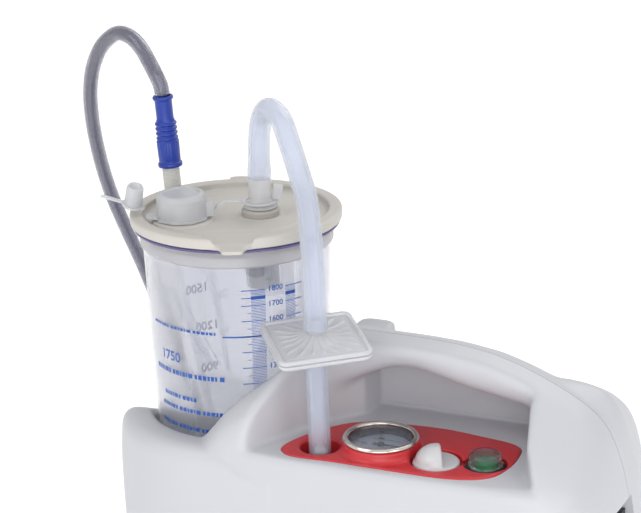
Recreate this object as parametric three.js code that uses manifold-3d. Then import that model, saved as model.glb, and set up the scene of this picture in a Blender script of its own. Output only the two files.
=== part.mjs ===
// Portable suction pump: a clamshell case with a carrying handle and a sunk control panel, a two-litre
// collection bottle standing in a well at one end, and the motor-driven diaphragm pump inside.
// Millimetres, +Z up, +X towards the control end, -Y is the front. The origin is on the surface that the
// rubber feet stand on, under the middle of the case.
import * as THREE from 'three';
import { mergeVertices } from 'three/addons/utils/BufferGeometryUtils.js';
import Module from 'manifold-3d';

const wasm = await Module();
wasm.setup();

// ---- driving dimensions ----
const GAP = 0.3;                 // running clearance between neighbouring pieces
const WALL = 3;                  // wall of the moulded case
const FEET = 6;                  // height of the rubber feet
const HALF_DEPTH = 80;           // half the case depth, and the radius of its round left end
const RIGHT_END = 168;
const RIGHT_CORNER = 60;         // plan radius of the right corners
const WELL_X = -95;              // axis of the bottle and its well
const FLOOR_Z = 128;             // floor of the hand recess
const RECESS_BACK = 25;          // back wall of the hand recess
const HANDLE_FRONT = -16;
const BOTTLE_BASE_Z = 20.5;
const BOTTLE_TOP_Z = 252;
const BOTTLE_R = 51.5;           // outer radius at the bottle's foot
const TAPER = 0.035;             // growth of the bottle radius per millimetre of height
const BOTTLE_WALL = 1.6;
const LID_R = 66.5;
const LID_Z = 256;               // top face of the lid plate
const LID_TABS = [-66, 114];     // directions of the two finger tabs, in degrees
const PANEL_Z = 129;             // top face of the control panel
const PORT = { x: -18, y: -53, cup: 12 };
const GAUGE = { x: 18, y: -43.5, r: 23 };
const KNOB = { x: 55, y: -47.5, r: 14.6, cup: 15.5 };
const SWITCH = { x: 84, y: -42, r: 12.2, cup: 12.8 };
const CUP_WALL = 1.4;            // wall of the panel's sunk cups
const VACUUM = { x: -78, y: 0 };
const SPIGOT = { x: -143, y: 9, lean: 3.5, facing: 24 };
const POUR = { x: -119.6, y: -25.6, r: 15.8 };
const FILTER = { x: -17.5, y: -56.5, z: 198.5, half: 28.5, turn: 14, lean: 6.5, facing: 24 };
const MOTOR = { x0: 72, x1: 126, y: 26, z: 44, r: 23 };
const HOSE_R = 4.8;              // patient hose
const SUCTION_R = 6.8;           // soft tube between lid and filter
const COIL = { x: -40, y: 172, r: 50 };       // r: radius of the inner turns
const FUNNEL = { x: -40, y: 150, z: 8.8 };    // where the hose's far end enters its funnel

// ---- geometry helpers ----
// Turns a closed three.js geometry into a solid, with its faces pointing out.
function solid(geometry) {
  const clean = geometry.index ? geometry.toNonIndexed() : geometry.clone();
  for (const key of Object.keys(clean.attributes)) if (key !== 'position') clean.deleteAttribute(key);
  const merged = mergeVertices(clean, 1e-4);
  const verts = merged.attributes.position.array;
  const raw = merged.index.array;
  const tris = [];
  for (let i = 0; i < raw.length; i += 3) {
    const [a, b, c] = [raw[i], raw[i + 1], raw[i + 2]];
    if (a !== b && b !== c && a !== c) tris.push(a, b, c);
  }
  const triVerts = new Uint32Array(signedVolume(verts, tris) < 0 ? tris.reverse() : tris);
  return new wasm.Manifold(new wasm.Mesh({ numProp: 3, vertProperties: new Float32Array(verts), triVerts }));
}

function signedVolume(verts, tris) {
  const corner = (i) => new THREE.Vector3(verts[3 * i], verts[3 * i + 1], verts[3 * i + 2]);
  let total = 0;
  for (let i = 0; i < tris.length; i += 3) {
    total += corner(tris[i]).dot(corner(tris[i + 1]).cross(corner(tris[i + 2])));
  }
  return total;
}

// The object's origin in the case's own coordinates, which have the case's middle plane at y = 0.
const ORIGIN = { x: -3.56, y: -6.88 };
const object = new THREE.Group();
object.position.set(-ORIGIN.x, -ORIGIN.y, 0);

// Adds a solid to the object as one named piece. Crumbs left by a cut are dropped.
function piece(name, body, color, roughness = 0.5, metalness = 0) {
  const parts = body.decompose().sort((a, b) => b.volume() - a.volume());
  const out = parts[0].getMesh();
  const geometry = new THREE.BufferGeometry();
  geometry.setAttribute('position', new THREE.BufferAttribute(new Float32Array(out.vertProperties), 3));
  geometry.setIndex(new THREE.BufferAttribute(new Uint32Array(out.triVerts), 1));
  geometry.computeVertexNormals();
  const mesh = new THREE.Mesh(geometry, new THREE.MeshStandardMaterial({ color, roughness, metalness }));
  mesh.name = name;
  object.add(mesh);
}

const points = (list) => list.map(([x, y]) => new THREE.Vector2(x, y));

// A closed outline in plan, extruded from z0 to z1.
function plate(shape, z0, z1, bevel = 0, curveSegments = 12) {
  const geometry = new THREE.ExtrudeGeometry(shape, {
    depth: z1 - z0 - 2 * bevel, curveSegments, bevelEnabled: bevel > 0,
    bevelThickness: bevel, bevelSize: bevel, bevelOffset: -bevel, bevelSegments: 2,
  });
  return solid(geometry.translate(0, 0, z0 + bevel));
}

// An outline drawn in X and Z, extruded along Y.
function slab(list, y0, y1) {
  const outline = new THREE.Shape(points(list));
  const geometry = new THREE.ExtrudeGeometry(outline, { depth: y1 - y0, bevelEnabled: false });
  return solid(geometry.rotateX(Math.PI / 2).translate(0, y1, 0));
}

function box(x0, x1, y0, y1, z0, z1) {
  const geometry = new THREE.BoxGeometry(x1 - x0, y1 - y0, z1 - z0);
  return solid(geometry.translate((x0 + x1) / 2, (y0 + y1) / 2, (z0 + z1) / 2));
}

// A profile of (radius, height) pairs turned about a vertical axis.
function turned(list, x = 0, y = 0, segments = 18) {
  const geometry = new THREE.LatheGeometry(points(list), segments);
  return solid(geometry.rotateX(Math.PI / 2).translate(x, y, 0));
}

function disc(r, z0, z1, x = 0, y = 0, segments = 18) {
  return turned([[0, z0], [r, z0], [r, z1], [0, z1]], x, y, segments);
}

function ring(inner, outer, z0, z1, x = 0, y = 0, segments = 18) {
  return turned([[inner, z0], [outer, z0], [outer, z1], [inner, z1], [inner, z0]], x, y, segments);
}

// A profile of (radius, x) pairs turned about an axis along X.
function turnedX(list, y, z, segments = 16) {
  const geometry = new THREE.LatheGeometry(points(list), segments);
  return solid(geometry.rotateZ(-Math.PI / 2).translate(0, y, z));
}

function circle(r, sides) {
  const shape = new THREE.Shape();
  for (let i = 0; i < sides; i++) {
    const a = (2 * Math.PI * (i + 0.5)) / sides;
    if (i === 0) shape.moveTo(r * Math.cos(a), r * Math.sin(a));
    else shape.lineTo(r * Math.cos(a), r * Math.sin(a));
  }
  return shape;
}

function tube(route, r, steps, sides = 8) {
  const path = new THREE.CatmullRomCurve3(route.map((p) => new THREE.Vector3(...p)), false, 'centripetal');
  return solid(new THREE.ExtrudeGeometry(circle(r, sides), { steps, extrudePath: path, bevelEnabled: false }));
}

// ---- case ----
function caseOutline(inset) {
  const shape = new THREE.Shape();
  const half = HALF_DEPTH - inset;
  const corner = RIGHT_CORNER - inset;
  const cx = RIGHT_END - RIGHT_CORNER;
  const cy = HALF_DEPTH - RIGHT_CORNER;
  shape.moveTo(WELL_X, -half);
  shape.lineTo(cx, -half);
  shape.absarc(cx, -cy, corner, -Math.PI / 2, 0, false);
  shape.absarc(cx, cy, corner, 0, Math.PI / 2, false);
  shape.lineTo(WELL_X, half);
  shape.absarc(WELL_X, 0, half, Math.PI / 2, 1.5 * Math.PI, false);
  return shape;
}

// Straight-line reading of a table of (at, value) pairs.
function read(table, at) {
  if (at <= table[0][0]) return table[0][1];
  for (let i = 1; i < table.length; i++) {
    const [x1, v1] = table[i];
    const [x0, v0] = table[i - 1];
    if (at <= x1) return v0 + ((v1 - v0) * (at - x0)) / (x1 - x0);
  }
  return table[table.length - 1][1];
}

const SPINE = [   // height of the case along its middle, handle included
  [-150, 50], [-130, 86], [-112, 118], [-104, 134], [-93, 152], [-79, 168], [-66, 177], [-45, 184],
    [-20, 187.3],
  [31, 186.6], [52, 185.4], [75, 182], [93, 176.5], [111, 169], [123, 163], [135, 156], [145, 147.5],
    [153, 133.5],
  [161, 104.5], [170, 50],
];
const CROWN = [   // fall of the case from its middle towards front and back
  [0, 0], [15, 2.5], [30, 8], [45, 15], [60, 24], [70, 33], [76, 42], [80, 58], [84, 80],
];
const RIM = [[-30, 125], [60, 84], [80, 75]];    // the well's rim, from front to back
const SHOULDER = [[106, 0], [118, 5], [126, 8.5], [138, 13], [159, 12], [168, 6]];   // back half only

function caseTop(x, y, inset) {
  const shoulder = read(SHOULDER, x) * Math.min(1, Math.max(0, (y - 5) / 18));
  const crown = read(SPINE, x) - read(CROWN, Math.abs(y)) + shoulder;
  return Math.max(x < -60 ? read(RIM, y) : 60, crown) - inset;
}

function caseBlock(inset, bottom) {
  const xs = [-180, ...SPINE.map((p) => p[0]), 117, 129, 140, 157, 165].sort((a, b) => a - b);
  const side = CROWN.map((p) => p[0]).slice(1);
  const ys = [...side.map((v) => -v).reverse(), 0, ...side, 5.01, 23].sort((a, b) => a - b);
  const verts = [];
  const tris = [];
  const at = (i, j, top) => 2 * (i * ys.length + j) + (top ? 1 : 0);
  for (const x of xs) for (const y of ys) verts.push(x, y, bottom, x, y, caseTop(x, y, inset));
  const quad = (a, b, c, d) => tris.push(a, b, c, a, c, d);
  for (let i = 0; i < xs.length - 1; i++) for (let j = 0; j < ys.length - 1; j++) {
    quad(at(i, j, 1), at(i + 1, j, 1), at(i + 1, j + 1, 1), at(i, j + 1, 1));
    quad(at(i, j, 0), at(i, j + 1, 0), at(i + 1, j + 1, 0), at(i + 1, j, 0));
  }
  const last = { i: xs.length - 1, j: ys.length - 1 };
  for (let i = 0; i < last.i; i++) {
    quad(at(i, 0, 0), at(i + 1, 0, 0), at(i + 1, 0, 1), at(i, 0, 1));
    quad(at(i + 1, last.j, 0), at(i, last.j, 0), at(i, last.j, 1), at(i + 1, last.j, 1));
  }
  for (let j = 0; j < last.j; j++) {
    quad(at(0, j + 1, 0), at(0, j, 0), at(0, j, 1), at(0, j + 1, 1));
    quad(at(last.i, j, 0), at(last.i, j + 1, 0), at(last.i, j + 1, 1), at(last.i, j, 1));
  }
  const geometry = new THREE.BufferGeometry();
  geometry.setAttribute('position', new THREE.BufferAttribute(new Float32Array(verts), 3));
  geometry.setIndex(tris);
  return solid(geometry).intersect(plate(caseOutline(inset), bottom, 200));
}

// The hand recess: a scoop open to the front and top, with the room for the fingers under the handle.
function recess(grow) {
  const plan = new THREE.Shape(points([
    [-76 - grow, -110], [-64 - grow, -84], [-52 - grow, -58], [-42 - grow, -38], [-30 - grow, -18],
    [-12 - grow, 5], [-9 - grow, RECESS_BACK + grow], [100 + grow, RECESS_BACK + grow], [103 + grow, 0],
    [106 + grow, -25], [112 + grow, -50], [122 + grow, -70], [136 + grow, -110],
  ]));
  const front = plate(plan, FLOOR_Z - grow, 260).subtract(box(-200, 200, HANDLE_FRONT + grow, 100, 0, 300));
  const under = slab([
    [-140, FLOOR_Z - grow], [180, FLOOR_Z - grow], [180, 150 + grow], [99, 153.5 + grow], [80, 157 + grow],
    [57, 161 + grow], [45, 164.5 + grow], [32, 168 + grow], [18, 168.5 + grow], [5, 165 + grow],
    [-5, 160 + grow], [-20, 152 + grow], [-140, 150 + grow],
  ], HANDLE_FRONT - 5, RECESS_BACK + grow).intersect(plate(plan, 0, 260));
  return front.add(under);
}

// The scoop behind the handle, for the thumb.
function backScoop(grow) {
  const plan = new THREE.Shape(points([
    [2 - grow, 29 - grow], [100 + grow, 29 - grow], [112 + grow, 110], [-12 - grow, 110],
  ]));
  return plate(plan, 140 - grow, 260);
}

const bottleRadius = (z) => BOTTLE_R + (z - BOTTLE_BASE_Z) * TAPER;

// The round well that the bottle stands in.
function well(grow) {
  const bottom = BOTTLE_BASE_Z - GAP;
  const clear = 3.2 + grow;
  return turned([[0, bottom - grow], [bottleRadius(bottom) + clear, bottom - grow],
    [bottleRadius(205) + clear, 205], [0, 205]], WELL_X, 0, 30);
}

function panelOutline(grow) {
  const rim = [
    [-40, -60], [-37, -47], [-28, -29], [-15, -13], [2, -5], [24, -2.5], [45, -1.5], [68, -4.5], [88, -8],
    [97, -14], [99.5, -27], [99, -41], [95, -56], [86, -64.5], [72, -69], [54, -70.5], [20, -70.5],
    [-5, -70.5], [-28, -71.5], [-37, -67],
  ];
  const centre = new THREE.Vector2(30, -38);
  return new THREE.Shape(points(rim).map((p) => {
    const out = p.clone().sub(centre).normalize().multiplyScalar(grow);
    return p.clone().add(out);
  }));
}

const INLET = { y: -14, half: 15, z0: 66, z1: 93, face: 158 };   // appliance inlet on the right end
const INLET_POCKET = { floor: 155, side: 4, z0: 60, z1: 101 };
const STOP = { x0: -31, x1: -3, y0: 17, y1: 37, top: 184, corner: 7 };
const VENTS = { count: 7, x: 60, pitch: 9, width: 3.4, z0: 30, z1: 62 };

// The pocket in the right end that the appliance inlet is sunk into.
function inletPocket(grow) {
  const side = INLET.half + INLET_POCKET.side + grow;
  return box(INLET_POCKET.floor - grow, RIGHT_END + 20, INLET.y - side, INLET.y + side,
    INLET_POCKET.z0 - grow, INLET_POCKET.z1 + grow);
}

// The raised stop behind the handle's left end.
function handleStop() {
  const { x0, x1, y0, y1, top, corner } = STOP;
  const shape = new THREE.Shape();
  shape.absarc(x1 - corner, y0 + corner, corner, -Math.PI / 2, 0, false);
  shape.absarc(x1 - corner, y1 - corner, corner, 0, Math.PI / 2, false);
  shape.absarc(x0 + corner, y1 - corner, corner, Math.PI / 2, Math.PI, false);
  shape.absarc(x0 + corner, y0 + corner, corner, Math.PI, 1.5 * Math.PI, false);
  return plate(shape, top - 10, top, 2, 4);
}

function makeCase() {
  const carved = (body, grow) => [recess, backScoop, well, inletPocket]
    .reduce((left, cut) => left.subtract(cut(grow)), body);
  const outer = carved(caseBlock(0, FEET), 0);
  const hollow = carved(caseBlock(WALL, FEET - 5), WALL);
  const core = hollow.decompose().sort((a, b) => b.volume() - a.volume())[0];
  let shell = outer.subtract(core);
  shell = shell.subtract(plate(panelOutline(GAP), PANEL_Z - 2.4 - GAP, PANEL_Z + 4));
  shell = shell.subtract(plate(panelOutline(-4), FLOOR_Z - 8, FLOOR_Z + 4));
  for (const at of [PORT, KNOB, SWITCH]) {
    shell = shell.subtract(disc(at.cup + CUP_WALL + GAP, FLOOR_Z - 25, FLOOR_Z + 4, at.x, at.y, 18));
  }
  const y0 = INLET.y - INLET.half;
  const y1 = INLET.y + INLET.half;
  const opening = box(INLET.face - 20, RIGHT_END, y0 - GAP, y1 + GAP, INLET.z0 - GAP, INLET.z1 + GAP);
  shell = shell.subtract(opening);
  for (let i = 0; i < VENTS.count; i++) {
    const x = VENTS.x + i * VENTS.pitch;
    shell = shell.subtract(box(x, x + VENTS.width, HALF_DEPTH - 8, HALF_DEPTH + 5, VENTS.z0, VENTS.z1));
  }
  const frontHalf = box(-200, 200, -120, 0, -5, 300).add(box(-24, 112, -2, RECESS_BACK - 0.2, 118, 158));
  const backHalf = box(-200, 200, GAP, 120, -5, 300)
    .subtract(box(-24 - GAP, 112 + GAP, -2, RECESS_BACK - 0.2 + GAP, 118 - GAP, 158 + GAP));
  piece('front_shell', shell.intersect(frontHalf), 0xdcdee2, 0.42);
  piece('back_shell', shell.intersect(backHalf).add(handleStop()), 0xd9dbe0, 0.42);
  makeBase();
}

const SCREWS = [[-32, -66], [146, -40], [146, 40], [-32, 66]];
const FOOT_SPOTS = [[-130, -42], [-130, 42], [128, -38], [128, 38]];

function makeBase() {
  let base = plate(caseOutline(WALL + 0.4), FEET, FEET + WALL);
  for (const [x, y] of SCREWS) {
    base = base.subtract(disc(2.3, 0, 30, x, y, 8)).subtract(disc(4.4, 0, FEET + 1.4, x, y, 8));
  }
  piece('base_plate', base, 0xb9bbc0, 0.6);
  FOOT_SPOTS.forEach(([x, y], i) => {
    const foot = turned([[0, 0], [9, 0], [10.5, 1.5], [10.5, FEET - GAP], [0, FEET - GAP]], x, y, 12);
    piece(`rubber_foot_${i + 1}`, foot, 0x2b2c2e, 0.85);
  });
  SCREWS.forEach(([x, y], i) => {
    const screw = turned([[0, FEET - 1.2], [3.9, FEET - 1.2], [3.9, FEET + 1.1], [1.9, FEET + 1.1], [1.9, 20],
      [0, 20]], x, y, 8);
    piece(`base_screw_${i + 1}`, screw, 0x9a9ca0, 0.35, 0.9);
  });
}

// ---- control panel ----
function makePanel() {
  const bottom = PANEL_Z - 2.4;
  let panel = plate(panelOutline(0), bottom, PANEL_Z);
  const cup = (at, depth) => disc(at.cup + CUP_WALL, PANEL_Z - depth - 1.6, PANEL_Z - 0.5, at.x, at.y, 18);
  const hole = (at, depth) => disc(at.cup, PANEL_Z - depth, PANEL_Z + 12, at.x, at.y, 18);
  panel = panel.add(cup(PORT, 12)).add(cup(KNOB, 4)).add(cup(SWITCH, 4));
  panel = panel.add(disc(GAUGE.r + 0.4, bottom, PANEL_Z + 6, GAUGE.x, GAUGE.y, 22));
  panel = panel.subtract(hole(PORT, 12)).subtract(hole(KNOB, 4)).subtract(hole(SWITCH, 4));
  panel = panel.subtract(disc(GAUGE.r - 2.6, 100, 150, GAUGE.x, GAUGE.y, 20));
  panel = panel.subtract(disc(5.4, 100, 150, PORT.x, PORT.y, 16))
    .subtract(disc(4.4, 100, 150, KNOB.x, KNOB.y, 16));
  panel = panel.subtract(disc(8.6, 100, 150, SWITCH.x, SWITCH.y, 20));
  piece('control_panel', panel, 0xaf2e37, 0.38);
}

function makeGauge() {
  const { x, y, r } = GAUGE;
  const top = PANEL_Z + 6;
  const bore = r - 2.6 - GAP;
  const can = turned([[0, 100], [4, 100], [4, 108], [bore, 108], [bore, top], [bore - 1.4, top],
    [bore - 1.4, 110], [0, 110]], x, y, 18);
  piece('gauge_case', can, 0x8d9095, 0.4, 0.8);
  piece('gauge_dial', disc(bore - 1.4 - GAP, 129.6, 130.4, x, y, 18), 0xe9eaec, 0.6);
  const hub = turned([[0, 130.8], [2.2, 130.8], [2.2, 132.6], [0, 132.6]], x, y, 12);
  const hand = box(x - 5, x + 13, y - 0.6, y + 0.6, 131.2, 132);
  piece('gauge_needle', hub.add(hand), 0x202226, 0.5);
  const movement = turned([[0, 110.3], [9, 110.3], [9, 127], [0.9, 127], [0.9, 129.2], [0, 129.2]], x, y, 16);
  piece('gauge_movement', movement, 0xb08d4a, 0.35, 0.9);
  piece('gauge_bezel', turned([[bore - 0.4, top + GAP], [r, top + GAP], [r + 0.4, top + 2.2], [r - 1, top + 4],
    [r - 3.4, top + 4], [bore - 0.4, top + 2.6], [bore - 0.4, top + GAP]], x, y, 22), 0xc9c4bd, 0.16, 1);
  piece('gauge_glass', disc(bore - 0.4 - GAP, top + 0.4, top + 2.2, x, y, 18), 0xbfc9d6, 0.08);
}

function makeRegulator() {
  const { x, y, r } = KNOB;
  const seat = PANEL_Z - 4;
  const grip = box(-r + 1.5, r - 1.5, -3.4, 3.4, seat + 3, seat + 13)
    .intersect(turned([[0, seat], [r - 1.5, seat], [r - 1.5, seat + 8], [9, seat + 13], [0, seat + 13]], 0, 0,
      24));
  const skirt = turned([[0, seat + GAP], [r, seat + GAP], [r, seat + 3.4], [r - 2.4, seat + 5],
    [0, seat + 5.4]],
    0, 0, 18);
  const bore = disc(2.5, seat - 1, seat + 6, 0, 0, 12);
  const knob = skirt.add(grip.rotate([0, 0, 62])).translate([x, y, 0]);
  piece('regulator_knob', knob.subtract(bore.translate([x, y, 0])), 0xf0f0f1, 0.35);
  piece('regulator_stem', turned([[0, 112], [3.2, 112], [3.2, 118], [2.2, 118], [2.2, seat + 5.4],
    [0, seat + 5.4]],
    x, y, 12), 0xa9a294, 0.3, 0.9);
  const valve = disc(9, 96, 119.6, x, y, 16).add(disc(6, 119, 122.6, x, y, 16))
    .add(turnedX([[0, x - 20], [3, x - 20], [3, x], [0, x]], y, 99, 8))
    .add(turnedX([[0, x], [3, x], [3, x + 20], [0, x + 20]], y, 99, 8));
  piece('regulator_valve', valve.subtract(disc(3.6, 111, 130, x, y, 16)), 0xb99a57, 0.35, 0.9);
}

function makeSwitch() {
  const { x, y, r } = SWITCH;
  const seat = PANEL_Z - 4;
  const housing = disc(8.2, 104, seat, x, y, 18).add(disc(r, seat + GAP, seat + 2.2, x, y, 18))
    .add(disc(8.2, seat - 0.5, seat + 2, x, y, 18)).subtract(disc(7.6, 108, 140, x, y, 18));
  piece('switch_housing', housing, 0x2a2d30, 0.5);
  piece('switch_spring', ring(3.2, 4.2, 108.4, 114.7, x, y, 12), 0xa0a3a8, 0.3, 1);
  piece('switch_button', disc(7.2, 115, seat + 6, x, y, 18), 0x1f8a52, 0.3);
  const cap = turned([[8.4, seat + 2.6], [9.8, seat + 2.6], [9.8, seat + 11], [8.8, seat + 12.4],
    [0, seat + 12.4],
    [0, seat + 11.2], [8.4, seat + 11.2], [8.4, seat + 2.6]], x, y, 18);
  piece('switch_cap', cap, 0xd6d2e0, 0.1);
}

// ---- suction line ----
function makeInlet() {
  const { x, y } = PORT;
  const spigot = turned([[0, 92], [4, 92], [4, 110], [5, 110], [5, 116.6], [4, 118], [4, 122], [4.6, 126],
    [3.4, 128], [2, 128], [2, 95], [0, 95]], x, y, 16);
  const flange = ring(4.6, 9, 110, 114.8, x, y, 16);
  piece('inlet_spigot', spigot.add(flange), 0xc9cbd0, 0.4);
  const lean = new THREE.Vector3(-18.1 - x, -55.2 - y, FILTER.z - 8 - 119);
  const line = (a) => [x + lean.x * a, y + lean.y * a, 119 + lean.z * a];
  const outer = tube([line(0), line(0.5), line(1)], SUCTION_R, 3, 12);
  const bore = tube([line(-0.2), line(0.5), line(1.2)], 5.8, 3, 12);
  piece('lower_tube', outer.subtract(bore), 0xdfe3ee, 0.3);
}

function makeFilter() {
  const { x, y, z, half, turn, lean, facing } = FILTER;
  const tilt = (body) => body.rotate([0, 0, turn]).rotate([lean, 0, 0]).rotate([0, 0, facing])
    .translate([x, y, z]);
  const square = (h) => {
    const s = new THREE.Shape();
    const c = 7;
    s.moveTo(-h + c, -h);
    s.absarc(h - c, -h + c, c, -Math.PI / 2, 0, false);
    s.absarc(h - c, h - c, c, 0, Math.PI / 2, false);
    s.absarc(-h + c, h - c, c, Math.PI / 2, Math.PI, false);
    s.absarc(-h + c, -h + c, c, Math.PI, 1.5 * Math.PI, false);
    return s;
  };
  const cone = (flip) => turned([[0, 1.4 * flip], [19, 1.4 * flip], [5, 6 * flip], [4, 14.5 * flip],
    [2.4, 14.5 * flip], [2.4, 4.6 * flip], [0, 4.6 * flip]], 0, 0, 12);
  const tray = (flip) => plate(square(half), Math.min(0.3 * flip, 3.2 * flip),
    Math.max(0.3 * flip, 3.2 * flip), 0, 3)
    .add(cone(flip)).subtract(plate(square(half - 2.4), -1.3, 1.3, 0, 3))
      .subtract(disc(2.4, -30, 30, 0, 0, 12));
  piece('filter_top', tilt(tray(1)), 0xe6e9ee, 0.15);
  piece('filter_bottom', tilt(tray(-1)), 0xe6e9ee, 0.15);
  piece('filter_membrane', tilt(plate(square(half - 2.8), -0.9, 0.9, 0, 3)), 0xf6f6f2, 0.9);
}

const SUCTION_ROUTE = [
  [VACUUM.x, VACUUM.y, LID_Z + 23], [-77.5, -0.5, 290], [-76, -2, 307], [-71.5, -6, 320], [-62.5, -14, 326.5],
  [-52, -22, 323], [-43.5, -29, 311], [-36, -34.5, 297], [-28, -41, 281], [-22, -49, 258], [-18, -55.5, 237],
  [-16.6, -58.2, 218],
];

function makeSuctionTube() {
  piece('suction_tube', tube(SUCTION_ROUTE, SUCTION_R, 18, 8), 0xdfe4ec, 0.35);
}

// ---- bottle and lid ----
function makeBottle() {
  const z0 = BOTTLE_BASE_Z;
  const r = bottleRadius;
  const t = BOTTLE_WALL;
  const neck = r(230) + 0.6;
  const band = { z: 236, r: r(236) + 1.6 };
  const flange = { z: LID_Z - 7.8, r: LID_R - 1.5 };
  piece('bottle', turned([
    [0, z0 + 3], [r(z0) - 12, z0 + 3], [r(z0) - 8, z0], [r(z0) - 2, z0], [r(z0), z0 + 3],
    [r(band.z), band.z], [band.r, band.z + 2], [band.r, flange.z - 1], [flange.r, flange.z],
      [flange.r, flange.z + 1.6],
    [neck, flange.z + 1.6], [neck, BOTTLE_TOP_Z],
    [r(230) - t, BOTTLE_TOP_Z], [r(230) - t, 230], [r(z0) - t, z0 + 6], [r(z0) - t - 3, z0 + 5], [0, z0 + 5],
  ], WELL_X, 0, 30), 0xdfe6ee, 0.08);
}

function makeLid() {
  const r = bottleRadius(230) + 0.6;
  const z = LID_Z;
  let lid = turned([
    [0, z - 5], [r - 4.6, z - 5], [r - 4.6, z - 14], [r - 2.9, z - 14], [r - 2.9, z - 3.4], [r + 0.4, z - 3.4],
    [r + 0.4, z - 5.4], [LID_R - 1.2, z - 5.4], [LID_R, z - 4.2], [LID_R, z], [LID_R - 1.4, z + 1.3],
    [LID_R - 7.4, z + 1.3], [LID_R - 8.8, z - 2.6], [47, z - 2.6], [45.5, z - 1.6], [0, z - 1.6],
  ], WELL_X, 0, 30);
  lid = lid.add(disc(7, z - 4, z - 1.6, SPIGOT.x, SPIGOT.y, 18));
  const tab = [[60, -14], [LID_R, -10.5], [LID_R + 4, -7.5], [LID_R + 9, -6.5], [LID_R + 10.5, -4],
    [LID_R + 10.5, 4], [LID_R + 9, 6.5], [LID_R + 4, 7.5], [LID_R, 10.5], [60, 14]];
  for (const facing of LID_TABS) {
    lid = lid.add(plate(new THREE.Shape(points(tab)), z - 5, z - 2).rotate([0, 0, facing])
      .translate([WELL_X, 0, 0]));
  }
  const holes = [[VACUUM, 6.4], [SPIGOT, 4.4], [POUR, 11.4]];
  const neck = turned([[9.6, z - 5], [POUR.r - 1.2, z - 5], [POUR.r - 1.2, z - 0.6], [12.6, z - 0.6],
    [12.6, z + 9.4], [10.4, z + 9.4], [9.6, z - 5]], POUR.x, POUR.y, 24);
  for (const [at, hole] of holes) lid = lid.subtract(disc(hole, z - 12, z + 10, at.x, at.y, 16));
  piece('lid', lid.add(neck), 0xc6c1b8, 0.5);
  piece('lid_gasket', ring(r - 2.6, r + 0.1, z - 3.8, z - 3.6, WELL_X, 0, 30), 0xe8e2d4, 0.8);
}

function makePourCap() {
  const { x, y, r } = POUR;
  const z = LID_Z - 3.6;
  const cap = turned([[12.9, z + 3.3], [r, z + 3.3], [r, z + 18], [r - 1.6, z + 20], [0, z + 20], [0, z + 17.6],
    [12.9, z + 17.6], [12.9, z + 3.3]], x, y, 18);
  const finger = box(x - r - 6, x - r + 1, y - 4, y + 4, z + 6, z + 8.4);
  piece('pour_cap', cap.add(finger), 0xe9e9ea, 0.45);
}

function makeVacuumPort() {
  const { x, y } = VACUUM;
  const z = LID_Z - 1.6;
  const port = turned([[3.4, z - 5.4], [6.1, z - 5.4], [6.1, z + GAP], [12, z + GAP], [12, z + 3], [8, z + 5],
    [7.6, z + 16], [5.4, z + 22], [5.2, z + 24.2], [3.4, z + 24.2], [3.4, z - 5.4]], x, y, 18);
  piece('vacuum_port', port, 0xdcdcda, 0.4);
  const seat = z - 5.7;
  const cage = turned([[9, seat - 40], [10.4, seat - 40], [10.4, seat], [3.6, seat], [3.6, seat - 2],
    [9, seat - 2],
    [9, seat - 40]], x, y, 18);
  let slotted = cage;
  for (let i = 0; i < 2; i++) {
    const slot = box(-2.6, 2.6, -20, 20, seat - 34, seat - 8).rotate([0, 0, 45 + 90 * i]);
    slotted = slotted.subtract(slot.translate([x, y, 0]));
  }
  const ledge = ring(5.8, 9.4, seat - 40, seat - 38, x, y, 18);
  piece('float_cage', slotted.add(ledge), 0xe3e4e6, 0.4);
  piece('float_valve', turned([[0, seat - 37.6], [7.6, seat - 37.6], [7.6, seat - 22], [4.6, seat - 18],
    [3, seat - 17],
    [0, seat - 17]], x, y, 18), 0xf2f2ee, 0.5);
}

// Tether straps of the two caps, and the small plug that hangs on one of them.
function makeTethers() {
  const z = LID_Z;
  const strap = [[-104.4, -16.2, z + 2.6], [-98.5, -12, z + 8.2], [-93.5, -8.6, z + 7.8],
    [-90.8, -6.4, z + 3.6]];
  piece('cap_strap', tube(strap, 1.3, 8, 6), 0xe4e5e7, 0.45);
  const stub = turned([[0, 0], [5.6, 0], [5.2, 13], [0, 13]], 0, 0, 14);
  const plug = stub.rotate([8, 15, 0]).translate([-149, -34, z + 8.2]);
  const web = tube([[-138.4, -33.6, z + 5], [-143.5, -34, z + 7.4], [-149, -34, z + 8.8]], 1.3, 4, 6);
  const tail = tube([[-149, -34, z + 9], [-161, -33, z + 9], [-173, -30.6, z + 10]], 1.3, 4, 6);
  piece('spare_plug', plug.add(web).add(tail), 0xe6e7ea, 0.35);
}

// The spigot's stem and the ribbed connector lean a little to the left as they leave the lid.
function makePatientFitting() {
  const { x, y } = SPIGOT;
  const z = LID_Z - 1.6;
  const turn = [0, -SPIGOT.lean, SPIGOT.facing];
  const leaning = (profile, sides) => turned(profile, 0, 0, sides).rotate(turn).translate([x, y, z]);
  const foot = turned([[2.6, z - 14], [4.1, z - 14], [4.1, z + GAP], [6, z + GAP], [6, z + 3], [5.2, z + 4],
    [2.6, z + 4], [2.6, z - 14]], x, y, 18);
  const stem = leaning([[2.6, 2.5], [5, 2.5], [4.8, 31], [2.6, 31], [2.6, 2.5]], 18);
  piece('patient_spigot', foot.add(stem), 0xe2e3e6, 0.4);
  const c = 23.4;
  const top = c + 46;
  const profile = [[5.2, c], [7.6, c], [7.6, c + 2.6], [6.8, c + 3], [7, c + 16.6]];
  for (let i = 0; i < 4; i++) {
    const rib = c + 17.6 + i * 3.1;
    profile.push([6.9, rib], [7, rib + 1.6], [6, rib + 2.2]);
  }
  profile.push([5.6, c + 31.1], [5.6, top - 3.4], [6.4, top - 2.4], [6.4, top], [2.4, top], [2.4, c + 11],
    [5.2, c + 10], [5.2, c]);
  piece('hose_connector', leaning(profile, 12), 0x2446a8, 0.45);
}

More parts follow.
